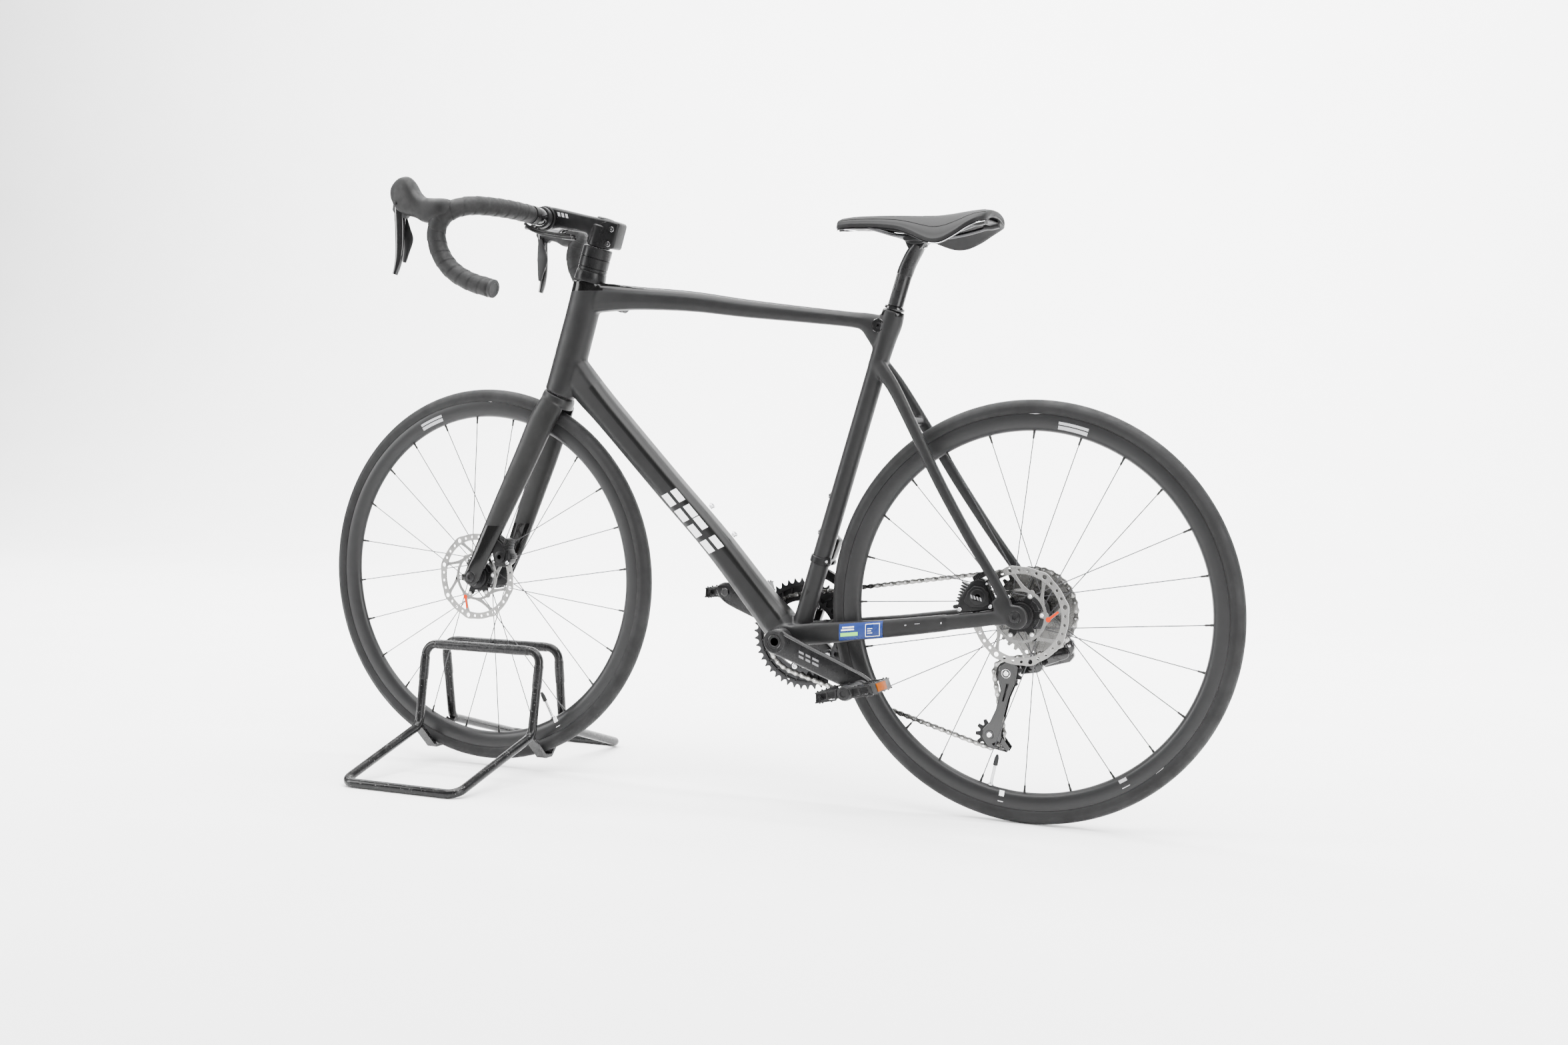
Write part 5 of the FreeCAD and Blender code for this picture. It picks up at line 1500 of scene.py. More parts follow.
def toothed_ring(name, y, teeth, inner):
    """Sprocket rim with pointed, chamfered teeth."""
    pitch = pitch_radius(teeth)
    profile = (
        (-0.5, -3.9), (-0.36, -3.7), (-0.22, -1.6), (-0.12, 1.6), (-0.05, 3.5), (0.05, 3.5), (0.12, 1.6),
        (0.22, -1.6), (0.36, -3.7)
    )
    rings = []
    for i in range(teeth):
        for offset, rise in profile:
            a = 2 * math.pi * (i + offset) / teeth
            slim = 0.85 if rise < 0 else 0.35
            ring = []
            for r, side in (
                (inner, -0.85), (pitch - 5.2, -0.85), (pitch + rise, -slim), (pitch + rise, slim),
                (pitch - 5.2, 0.85), (inner, 0.85)
            ):
                x, z = polar(BB, r, a)
                ring.append((x, y + side, z))
            rings.append(ring)
    return skin(name, rings, closed=True, sharp=30)


def build_ring_details():
    outer = [
        toothed_ring("outer", OUTER_Y, BIG_RING, 84.0),
        revolve(
            "web",
            [(60.0, OUTER_Y - 0.9), (84.5, OUTER_Y - 0.9), (84.5, OUTER_Y + 0.2), (60.0, OUTER_Y + 0.2)],
            BB, 128
        )
    ]
    inner = [toothed_ring("inner", RING_Y, SMALL_RING, 58.0)]
    for a in arm_angles():
        tip = polar(BB, SPIDER_R, a)
        for group, y in ((outer, OUTER_Y), (inner, RING_Y)):
            group.append(lathe("tab", [(0, 8.6), (1.6, 8.6)], (tip[0], y - 0.8, tip[1]), (0, 1, 0), 24))
    fit("ring_big", outer, "crank", M["ring"], "chainring", "chainring_outer", sharp=30)
    fit("ring_small", inner, "crank", M["ring"], "chainring", "chainring_inner", sharp=30)
    parts = []
    for a in arm_angles():
        tip = polar(BB, SPIDER_R, a)
        parts.append(lathe(
            "bolt", [(0, 4.6), (0.5, 5.0), (2.0, 5.0), (2.4, 4.4), (2.4, 2.6), (1.0, 2.4)],
            (tip[0], -38.6, tip[1]), (0, 1, 0), 24
        ))
        parts.append(lathe(
            "bolt", [(0, 4.6), (0.5, 5.0), (1.6, 5.0), (2.0, 4.4), (2.0, 2.6), (1.0, 2.4)],
            (tip[0], -64.2, tip[1]), (0, -1, 0), 24
        ))
    fit("ring_bolts", parts, "crank", M["steel"], "steel")
    webs = []
    inner_radius, outer_radius = 63.0, 82.5
    count = 26
    for k in range(count):
        a = 2 * math.pi * k / count
        low = polar(BB, inner_radius, a - 0.07)
        high = polar(BB, outer_radius, a + 0.07)
        webs.append(plate("rib", capsule(low, 1.7, high, 1.3, 4), -48.4, -46.2, 0.3))
    for r0, r1 in ((60.5, 64.0), (81.5, 84.0)):
        ring = revolve("hoop", [(r0, -48.0), (r1, -48.0), (r1, -46.2), (r0, -46.2)], BB, 128)
        webs.append(ring)
    fit("ring_ribs", webs, "crank", M["plastic"], "chainring")
    pins = []
    for a in (20, 110, 200, 290):
        x, z = polar(BB, 84.0, math.radians(a))
        pins.append(lathe("pin", [(0, 2.1), (1.6, 2.1), (2.0, 1.6)], (x, -48.2, z), (0, 1, 0), 16))
    fit("ring_pins", pins, "crank", M["bright"], "chainring")


def build_pedal(side):
    word = "left" if side > 0 else "right"
    body = "pedal_" + word
    x, z = crank_end(side)
    tilt = Matrix.Rotation(math.radians(12 if side > 0 else 6), 4, Y)
    y0, y1 = side * PEDAL_Y[0], side * PEDAL_Y[1]
    near, far = min(y0, y1), max(y0, y1)
    parts = []
    for lead in (1, -1):
        rail = [
            (lead * 50, -8.6), (lead * 47.5, 8.6), (lead * 42, 8.6), (lead * 41, 2.5), (lead * 43, 0),
            (lead * 41, -2.5), (lead * 41, -8.6)
        ]
        parts.append(plate("rail", [(x + a, z + b) for a, b in rail], near + 3, far - 3, 0.7))
    for y in (near, far - 4.5):
        for a0, a1 in ((-50, -14), (14, 50)):
            parts.append(plate("top", box(x + a0 * 0.95, z + 6.2, x + a1 * 0.95, z + 8.7), y, y + 4.5, 0.4))
            parts.append(plate("base", box(x + a0, z - 8.7, x + a1, z - 6.2), y, y + 4.5, 0.4))
        for a in (-46.5, -28, -13, 13, 28, 46.5):
            lean = 1.5 if a > 0 else -1.5
            foot, peak = x + a + lean, x + a - lean
            web = [(foot - 1.3, z - 8), (foot + 1.3, z - 8), (peak + 1.3, z + 8), (peak - 1.3, z + 8)]
            parts.append(plate("web", web, y + 0.5, y + 4.0, 0.3))
    barrel = lathe(
        "barrel",
        [
            (0, 8.5), (0.8, 10.2), (8, 10.4), (9, 12.4), (16, 12.4), (17, 10.6), (68, 10.4), (69, 12.4),
            (77, 12.4), (85, 10.6), (85.8, 9.0), (85.8, 5.5), (84, 5.0)
        ],
        (x, y0, z), (0, side, 0), 40
    )
    parts.append(barrel)
    middle = (near + far) / 2
    for y in (near + 14, middle, far - 14):
        parts.append(plate("cross", box(x - 44, z - 3.4, x + 44, z + 3.4), y - 1.6, y + 1.6, 0.5))
        for lead in (1, -1):
            parts.append(plate(
                "gusset",
                [
                    (x + lead * 9, z - 7.8), (x + lead * 43, z - 4.2), (x + lead * 43, z + 4.2),
                    (x + lead * 9, z + 7.8)
                ],
                y - 1.2, y + 1.2, 0.4
            ))
    cage = join("pedal_cage_" + word, parts, 38)
    shift = Matrix.Translation(Vector((x, 0, z)) * MM)
    turn = shift @ tilt @ shift.inverted()
    cage.data.transform(turn)
    place(cage, body, M["plastic"], "pedal", "pedal_" + word)
    pins = []
    for lead in (1, -1):
        for k in range(5):
            y = near + 8 + k * (far - near - 16) / 4
            for way in (1, -1):
                pins.append(lathe(
                    "pin", [(0, 1.7), (1.4, 1.7), (2.2, 1.2)], (x + lead * 45.5, y, z + way * 8.4),
                    (0, 0, way), 10
                ))
    for y in (near + 2.4, far - 2.4):
        for a in (-38, -22, 22, 38):
            for way in (1, -1):
                pins.append(lathe(
                    "pin", [(0, 1.5), (1.2, 1.5), (1.9, 1.0)], (x + a, y, z + way * 8.4), (0, 0, way), 10
                ))
    studs = join("pedal_pins_" + word, pins, 40)
    studs.data.transform(turn)
    place(studs, body, M["nipple"], "pedal")
    lights = []
    for lead in (1, -1):
        lens = plate(
            "lens",
            [
                (x + lead * 51.0, z - 6.4), (x + lead * 49.4, z + 6.6), (x + lead * 45.8, z + 6.6),
                (x + lead * 46.0, z - 6.4)
            ],
            middle - 19, middle + 19, 0.4
        )
        lights.append(lens)
    amber = join("pedal_reflectors_" + word, lights, 40)
    amber.data.transform(turn)
    place(amber, body, M["amber"], "pedal")


# Chain and gears
def pitch_radius(teeth):
    return PITCH / (2 * math.sin(math.pi / teeth))


def travel_line(a, b):
    """Common tangent between two wrapped circles of (x, z, radius, turn)."""
    dx, dz = b[0] - a[0], b[1] - a[1]
    k = b[2] * b[3] - a[2] * a[3]
    run = math.sqrt(dx * dx + dz * dz - k * k)
    angle = math.atan2(dz, dx) - math.atan2(k, run)
    nx, nz = -math.sin(angle), math.cos(angle)
    start = (a[0] - a[2] * a[3] * nx, a[1] - a[2] * a[3] * nz)
    end = (b[0] - b[2] * b[3] * nx, b[1] - b[2] * b[3] * nz)
    return start, end


def chain_pins():
    """Pin centres at even steps round the whole run."""
    wraps = [
        (*REAR, pitch_radius(COGS[0]), 1, COG_Y), (*GUIDE, pitch_radius(PULLEY_TEETH), -1, COG_Y),
        (*TENSION, pitch_radius(PULLEY_TEETH), 1, COG_Y), (*BB, pitch_radius(SMALL_RING), 1, RING_Y),
    ]
    lines = [travel_line(wraps[i], wraps[(i + 1) % 4]) for i in range(4)]
    path = []
    for i, (x, z, radius, turn, y) in enumerate(wraps):
        arrive, leave = lines[i - 1][1], lines[i][0]
        a0 = math.atan2(arrive[1] - z, arrive[0] - x)
        span = (math.atan2(leave[1] - z, leave[0] - x) - a0) * turn % (2 * math.pi)
        steps = max(8, int(span * 40))
        for k in range(steps + 1):
            px, pz = polar((x, z), radius, a0 + turn * span * k / steps)
            path.append(Vector((px, y, pz)))
        next_y = wraps[(i + 1) % 4][4]
        (x0, z0), (x1, z1) = lines[i]
        for k in range(1, 60):
            t = k / 60
            path.append(Vector((x0 + (x1 - x0) * t, y + (next_y - y) * t, z0 + (z1 - z0) * t)))
    lengths = [0.0]
    for a, b in zip(path, path[1:] + path[:1]):
        lengths.append(lengths[-1] + (b - a).length)
    count = 2 * round(lengths[-1] / PITCH / 2)
    step = lengths[-1] / count
    pins = []
    j = 0
    for k in range(count):
        want = k * step
        while lengths[j + 1] < want:
            j += 1
        t = (want - lengths[j]) / (lengths[j + 1] - lengths[j])
        pins.append(path[j].lerp(path[(j + 1) % len(path)], t))
    return pins


def link_outline(length, end_radius, waist):
    """Figure-of-eight side plate about its own middle."""
    half = length / 2
    points = []
    for i in range(9):
        points.append((
            half + end_radius * math.cos(math.radians(-112 + 28 * i)),
            end_radius * math.sin(math.radians(-112 + 28 * i))
        ))
    points.append((0.0, waist))
    for i in range(9):
        points.append((
            -half + end_radius * math.cos(math.radians(68 + 28 * i)),
            end_radius * math.sin(math.radians(68 + 28 * i))
        ))
    points.append((0.0, -waist))
    return points


def build_chain():
    pins = chain_pins()
    count = len(pins)
    outer_verts, outer_faces, inner_verts, inner_faces, pin_verts, pin_faces = [], [], [], [], [], []
    outline = link_outline(PITCH, 4.1, 2.6)
    inset = link_outline(PITCH, 3.5, 2.1)

    def add_plate(verts, faces, a, b, y0, y1):
        mid = (a + b) / 2
        along = (b - a).normalized()
        up = along.cross(Y).normalized()
        n = len(outline)
        base = len(verts)
        outward = 1 if y1 > y0 else -1
        for shape, y in ((outline, y0), (outline, y1 - 0.25 * outward), (inset, y1)):
            for u, w in shape:
                verts.append(mid + along * u + up * w + Y * y)
        faces.append([base + i for i in range(n)])
        faces.append([base + 2 * n + i for i in reversed(range(n))])
        for layer in range(2):
            for i in range(n):
                k = (i + 1) % n
                lo = base + layer * n
                faces.append((lo + i, lo + k, lo + n + k, lo + n + i))

    def add_rod(verts, faces, at, r, y0, y1, sides=12):
        base = len(verts)
        for y in (y0, y1):
            for i in range(sides):
                a = 2 * math.pi * i / sides
                verts.append(at + Vector((r * math.cos(a), y, r * math.sin(a))))
        faces.append([base + i for i in range(sides)])
        faces.append([base + sides + i for i in reversed(range(sides))])
        for i in range(sides):
            k = (i + 1) % sides
            faces.append((base + i, base + k, base + sides + k, base + sides + i))

    for i, a in enumerate(pins):
        b = pins[(i + 1) % count]
        for way in (1, -1):
            if i % 2 == 0:
                add_plate(outer_verts, outer_faces, a, b, way * 1.95, way * 2.75)
            else:
                add_plate(inner_verts, inner_faces, a, b, way * 1.15, way * 1.85)
        add_rod(inner_verts, inner_faces, a, 3.6, -1.1, 1.1)
        add_rod(pin_verts, pin_faces, a, 1.7, -3.0, 3.0, 10)
    outer = new_mesh("chain_outer_links", outer_verts, outer_faces, 40)
    place(outer, "frame", M["chain"], "chain", "chain")
    inner = new_mesh("chain_inner_links", inner_verts, inner_faces, 40)
    place(inner, "frame", M["chain_inner"], "chain")
    rivets = new_mesh("chain_rivets", pin_verts, pin_faces, 40)
    place(rivets, "frame", M["steel"], "chain")


def build_cassette_details():
    parts = []
    for i, teeth in enumerate(COGS):
        y = COG_Y - i * COG_STEP
        radius = pitch_radius(teeth) - 8
        for k in range(6):
            a = 2 * math.pi * (k + 0.15 * i) / 6
            low, high = polar(REAR, 19, a), polar(REAR, radius, a + 0.2)
            if radius > 26:
                parts.append(plate("arm", capsule(low, 3.0, high, 2.2, 5), y - 2.8, y - 0.85, 0.3))
    lock = lathe(
        "lock", [(0, 19.4), (1.4, 20.0), (2.4, 19.2), (2.4, 15.6), (1.0, 15.0)],
        (REAR[0], -66.6, REAR[1]), (0, -1, 0), 48
    )
    fit("cassette_carriers", parts, "cassette", M["black_alloy"], "cassette")
    place(rename(lock, "cassette_lockring"), "cassette", M["steel"], "cassette")


# Derailleurs
def build_front_derailleur():
    up = Vector((-LEAN, 0, 1)).normalized()
    band = lathe(
        "band", [(0, 16.2), (0, 17.4), (0.7, 18.2), (11.0, 18.2), (11.7, 17.4), (11.7, 16.2)],
        seat(402.5), up, 64
    )
    x = seat(407).x
    clasp = plate("clasp", [(x - 22, 402), (x - 13, 400), (x - 11, 412), (x - 22, 413)], 6, 14, 1.2)
    block = plate(
        "block",
        [
            (x - 4, 397), (x + 11, 393), (x + 8, 425), (x - 4, 446), (x - 14, 451), (x - 25, 440),
            (x - 14, 410)
        ],
        -37.5, -18, 2.4, segments=3
    )
    motor = lathe("motor", [(0, 10), (1, 11.5), (15, 11.5), (16.5, 10)], (x - 9, -18, 433), (0, -1, 0), 40)
    arm = plate("arm", capsule((x - 4, 402), 5.5, (x + 20, 395), 4.5, 10), -46, -34, 1.2)
    fit(
        "mech_front_body", [band, clasp, block, motor, arm], "frame", M["satin_black"], "black_plastic",
        "front_derailleur"
    )
    inside, outside = [], []
    for i in range(15):
        a = math.radians(97 + i * 2.9)
        inside.append(polar(BB, 101 + 2.5 * math.sin(math.pi * i / 14), a))
        outside.append(polar(BB, 120.5 - 6.0 * (i / 14) ** 2, a))
    wing = inside + outside[::-1]
    floor_line = [(px, pz - 2.0) for px, pz in (outside[7], outside[2])]
    cage = [
        plate("outer", wing, -54.4, -53.0, 0.5), plate("inner", wing, -46.0, -44.8, 0.4),
        plate("bridge", [outside[2], outside[7]] + floor_line, -54, -45, 0.3),
        lathe("pin", [(0, 2.6), (12, 2.6)], (outside[11][0], -55, outside[11][1] - 4), (0, 1, 0), 16),
    ]
    fit("mech_front_cage", cage, "frame", M["satin_black"], "steel")
    screws = [
        lathe(
            "screw", [(0, 2.6), (2.0, 2.6), (2.6, 2.1), (2.6, 1.3), (1.4, 1.1)], (x - 17, 14.0, 406.5),
            (0, 1, 0), 20
        ),
        lathe(
            "screw", [(0, 4.0), (2.0, 4.0), (2.6, 3.3), (2.6, 2.0), (1.2, 1.8)], (x + 3, -37.4, 404),
            (0, -1, 0), 20
        ),
        lathe("screw", [(0, 2.4), (1.6, 2.4), (2.0, 1.8)], (x - 20, -19.5, 444), (0.2, 1, 0.3), 16),
    ]
    fit("mech_front_screws", screws, "frame", M["bright"], "steel")


CAGE_EDGE = [
    (-488, 247), (-481, 254), (-469, 254.5), (-458.5, 246), (-455.5, 229), (-461, 208), (-453.5, 176),
    (-444, 155), (-432, 142), (-430.5, 127), (-440, 114), (-473, 108), (-477, 115), (-463, 133),
    (-463.5, 156), (-473, 196), (-484, 222),
]
CAGE_WINDOWS = (
    [(-470, 112.5), (-452, 115.5), (-447, 119), (-457, 124)],
    [(-469, 219), (-474, 219), (-466, 190), (-463, 190)]
)


def build_rear_derailleur():
    knuckle = lathe("knuckle", [(0, 7.5), (1, 10), (12.5, 10), (13.5, 9)], (-521, -79.5, 306), (0, -1, 0), 40)
    upper = plate(
        "upper",
        [
            (-514, 312), (-526, 314), (-545, 295), (-561, 288), (-564, 276), (-559, 262), (-546, 259),
            (-534, 268), (-516, 296)
        ],
        -96, -82, 2.8, segments=3
    )
    outer_link = plate(
        "outer",
        [
            (-560, 272), (-552, 277), (-520, 262), (-494, 259), (-488, 246), (-498, 236), (-528, 244),
            (-556, 252), (-563, 261)
        ],
        -99, -84.5, 3.0, segments=3
    )
    inner_link = plate("inner", capsule((-548, 266), 9.0, (-500, 248), 9.5, 18), -83.5, -76, 1.6)
    lower = plate("lower", capsule((-506, 246), 12.0, (-474, 240), 11.5, 14), -80, -60, 2.4, segments=3)
    pivot = lathe(
        "pivot", [(0, 9.5), (1.2, 12.0), (18, 12.0), (19, 10.8), (26, 10.6), (26.4, 8)], (-474, -66, 240),
        (0, 1, 0), 48
    )
    stub = lathe("stub", [(0, 5), (5.5, 5)], (-474, -39.9, 240), (0, 1, 0), 24)
    fins = [
        plate(
            "fin", capsule((-552 + 5 * k, 284 - 2.4 * k), 1.0, (-556 + 5 * k, 262 - 2.4 * k), 0.9, 4),
            -82.2, -80.6, 0.3
        )
        for k in range(5)
    ]
    fit(
        "mech_rear_body", [knuckle, upper, outer_link, inner_link, lower, pivot, stub] + fins, "frame",
        M["gloss_black"], "black_plastic", "rear_derailleur"
    )
    screws = []
    for sx, sz, y in ((-521, 306, -93), (-552, 264, -99), (-499, 247, -99)):
        screws.append(lathe(
            "screw", [(0, 5.0), (1.0, 5.0), (1.6, 4.2), (1.6, 2.5), (0.6, 2.3)], (sx, y, sz), (0, -1, 0),
            24
        ))
    screws.append(lathe("screw", [(0, 3.0), (1.2, 3.0), (1.6, 2.4)], (-556, -81.8, 280), (0, 1, 0), 16))
    fit("mech_rear_screws", screws, "frame", M["steel"], "steel")
    plates, edges = [], []
    for y0, y1, face in ((-21.9, -20.2, -20.15), (-34.0, -32.3, -34.05)):
        side = pierced("plate", CAGE_EDGE, CAGE_WINDOWS, y0, y1)
        plates.append(side)
        edges.append(ring_tube("edge", [Vector((x, face, z)) for x, z in CAGE_EDGE], 0.7))
        for window in CAGE_WINDOWS:
            edges.append(ring_tube("edge", [Vector((x, face, z)) for x, z in window], 0.5))
    boss = lathe("boss", [(0, 10.4), (0.6, 11), (5.4, 11), (6, 10)], (-474, -39.0, 240), (0, 1, 0), 40)
    seats = []
    for cx, cz in (GUIDE, TENSION):
        seats.append(lathe("hub", [(0, 7.4), (1.3, 6.8), (1.3, 4.4)], (cx, -20.25, cz), (0, 1, 0), 32))
        seats.append(lathe("core", [(0, 3.95), (11.4, 3.95)], (cx, -33, cz), (0, 1, 0), 24))
    bridge = tube("bridge", [(-451, -33, 112.5), (-451, -21, 112.5)], 2.0, 16)
    fit(
        "mech_cage_plates", plates + [boss, bridge] + edges + seats, "derailleur_cage", M["gloss_black"],
        "black_plastic", "derailleur_cage"
    )
    bright = []
    for cx, cz in (GUIDE, TENSION):
        bright.append(lathe(
            "screw", [(0, 4.2), (1.0, 4.2), (1.5, 3.6), (1.5, 2.0), (0.5, 1.8)], (cx, -19.2, cz),
            (0, 1, 0), 20
        ))
        bright.append(lathe("screw", [(0, 3.4), (0.8, 3.4), (1.2, 2.8)], (cx, -34.0, cz), (0, -1, 0), 20))
    bright.append(bead(GUIDE, -19.1, 7.0, 16, 0.6))
    fit("mech_cage_screws", bright, "derailleur_cage", M["bright"], "steel")
    for word, centre in (("guide", GUIDE), ("tension", TENSION)):
        seal = lathe(
            "seal", [(0, 8.6), (0.5, 9.2), (1.1, 8.6), (1.1, 4.4)], (centre[0], COG_Y + 1.15, centre[1]),
            (0, 1, 0), 40
        )
        place(rename(seal, word + "_pulley_seal"), word + "_pulley", M["satin_black"], "black_plastic")


def pierced(name, outline, windows, y0, y1):
    """Plate with open windows cut through it."""
    body = plate(name, outline, y0, y1, 0)
    for window in windows:
        cutter = plate("window", window, y0 - 3, y1 + 3, 0)
        carve(body, cutter)
    smooth(body, 40)
    return body


def ring_tube(name, loop, radius):
    """Closed bead that follows a loop of points."""
    rings = []
    count = len(loop)
    for i, p in enumerate(loop):
        t = (loop[(i + 1) % count] - loop[i - 1]).normalized()
        up = t.cross(Y).normalized()
        rings.append(circle(p, Y, up, radius, 8))
    return skin(name, rings, closed=True)


def bead(centre, y, radius, half_count, thickness):
    """Round bead about a wheel-like axis, with twice half_count points."""
    points = [polar(centre, radius, math.pi * k / half_count) for k in range(2 * half_count)]
    return ring_tube("bead", [Vector((x, y, z)) for x, z in points], thickness)


# Brakes, axles and small fittings
def cooling_fins(x, z, lean, count, reach, y0, y1):
    """Row of thin plates that stand out from the back of a caliper."""
    fins = []
    out = Vector((math.cos(lean), 0, math.sin(lean)))
    row = Vector((-math.sin(lean), 0, math.cos(lean)))
    for k in range(count):
        foot = Vector((x, 0, z)) + row * (2.7 * k)
        tip = foot + out * (reach - 0.5 * abs(k - count / 2))
        fins.append(plate("fin", capsule((foot.x, foot.z), 1.0, (tip.x, tip.z), 0.95, 4), y0, y1, 0.25))
    return fins


def socket_screw(x, y, z, radius):
    return lathe(
        "screw",
        [(0, radius), (2.0, radius), (2.6, radius * 0.8), (2.6, radius * 0.5), (1.2, radius * 0.45)],
        (x, y, z), (0, 1, 0), 24
    )


def build_calipers():
    front = [
        (474, 436), (466, 430), (452, 420), (440, 406), (434.5, 392), (437, 380), (446, 374),
        (458, 372.5), (468, 375), (472, 388), (476, 402), (482, 416), (488, 426), (484, 436)
    ]
    body = plate("body", front, 27, 48.5, 3.4, segments=3)
    bulge = plate(
        "bulge",
        [(470, 428), (452, 416), (444, 402), (446, 388), (458, 380), (468, 386), (474, 406), (480, 424)],
        47, 51.4, 1.8, segments=3
    )
    lid = lathe(
        "lid", [(0, 10.5), (1.2, 10.5), (2.0, 9.4), (2.0, 4.0), (1.0, 3.6)], (456, 50.4, 391), (0, 1, 0),
        36
    )
    union = lathe(
        "union", [(0, 4.6), (5, 4.6), (6, 3.6), (12, 3.4), (14, 2.6)], (480, 34, 432), (0.25, 0, 1), 20
    )
    fins = cooling_fins(
        446, 424, math.radians(196), 9, 11, 30, 50
    ) + cooling_fins(438, 396, math.radians(176), 4, 6, 31, 49)
    fit(
        "brake_front_body", [body, bulge, lid, union] + fins, "fork", M["satin_black"], "black_alloy",
        "front_caliper"
    )
    rear = [
        (-474, 347), (-470, 366), (-463, 380), (-458, 393), (-446, 396), (-434, 390), (-424, 376),
        (-414, 362), (-412, 338), (-440, 341)
    ]
    body = plate("body", rear, 41, 62.5, 3.4, segments=3)
    bulge = plate(
        "bulge",
        [
            (-468, 356), (-464, 374), (-454, 383), (-440, 384), (-430, 374), (-424, 358), (-436, 349),
            (-456, 349)
        ],
        61, 66.2, 2.2, segments=3
    )
    lid = lathe(
        "lid", [(0, 13.0), (1.0, 13.0), (1.8, 12.0), (1.8, 5.4), (1.0, 5.0)], (-447, 65.2, 366),
        (0, 1, 0), 40
    )
    fins = cooling_fins(-440, 392, math.radians(64), 8, 8, 44, 62)
    for k in range(7):
        fins.append(plate(
            "rib", capsule((-428 + 1.6 * k, 384 - 4.6 * k), 1.2, (-420 + 1.5 * k, 388 - 4.9 * k), 1.1, 4),
            46, 62, 0.3
        ))
    union = lathe(
        "union", [(0, 4.6), (5, 4.6), (6, 3.6), (12, 3.4), (14, 2.6)], (-418, 56, 350), (1, 0, -0.15), 20
    )
    fit(
        "brake_rear_body", [body, bulge, lid, union] + fins, "frame", M["satin_black"], "black_alloy",
        "rear_caliper"
    )
    screws = [
        socket_screw(472, 48.6, 430, 3.8), socket_screw(441, 48.4, 381, 3.4),
        socket_screw(467, 51.0, 382, 1.9)
    ]
    fit("brake_front_screws", screws, "fork", M["bright"], "steel")
    screws = [
        socket_screw(-468, 62.4, 352, 3.4), socket_screw(-417, 62.4, 345, 3.4),
        socket_screw(-462, 64.6, 388, 1.9)
    ]
    fit("brake_rear_screws", screws, "frame", M["steel"], "steel")
    marks = [
        plate(
            "mark",
            [
                (-455 + 5 * k, 360 + 1.2 * k), (-452 + 5 * k, 360.7 + 1.2 * k),
                (-450.5 + 5 * k, 366.4 + 1.2 * k), (-453.5 + 5 * k, 365.7 + 1.2 * k)
            ],
            67.0, 67.15, 0
        )
        for k in range(4)
    ]
    fit("brake_rear_marks", marks, "frame", M["faded"], "black_alloy", sharp=None)


def build_axles():
    for word, centre, body, y0, y1, cap in (
        ("front", FRONT, "fork", -58, 59.6, 62), ("rear", REAR, "frame", -79, 80.6, 83)
    ):
        rod = lathe("rod", [(0, 5.2), (0.8, 6.0), (y1 - y0, 6.0)], (centre[0], y0, centre[1]), (0, 1, 0), 32)
        head = lathe(
            "head",
            [
                (0, 8.0), (0.4, 8.5), (cap - y1 - 0.5, 8.5), (cap - y1, 7.6), (cap - y1, 3.6),
                (cap - y1 - 1.6, 3.3), (cap - y1 - 1.8, 0.1)
            ],
            (centre[0], y1, centre[1]), (0, 1, 0), 40
        )
        washer = lathe(
            "washer", [(0, 10.6), (0.5, 10.9), (0.9, 10.6), (0.9, 8.6)], (centre[0], y1 - 0.5, centre[1]),
            (0, 1, 0), 40
        )
        fit(word + "_axle_parts", [rod, head, washer], body, M["black_alloy"], "steel", word + "_thru_axle")


def bottle_bolt(depth, start, way):
    profile = [(-depth, 4.0), (0.6, 4.0), (1.0, 5.6), (2.2, 5.6), (3.0, 4.8), (3.0, 2.6), (1.6, 2.4)]
    return lathe("bolt", profile, start, way, 24)


def build_bosses():
    bolts = []
    out = Vector((-0.72, 0, 0.69))
    for x, z in ((56.5, 491.5), (12.8, 444.2)):
        start = Vector((x, 0, z)) + out
        bolts.append(bottle_bolt(3, start, out))
    front = Vector((1, 0, LEAN)).normalized()
    for z in (512.0, 450.8):
        start = seat(z) + front * 15.2
        bolts.append(bottle_bolt(2, start, front))
    fit("bottle_bolts", bolts, "frame", M["steel"], "steel", "frame_hardware")
    eyelet = []
    for side in (1, -1):
        eyelet.append(lathe(
            "eyelet", [(-1, 5.2), (0.4, 5.2), (1.0, 4.6), (1.0, 2.4), (0.2, 2.2)],
            (-254, side * 14.6, 797), (0, side, 0), 28
        ))
    fit("frame_grommets", eyelet, "frame", M["plastic"], "black_plastic")


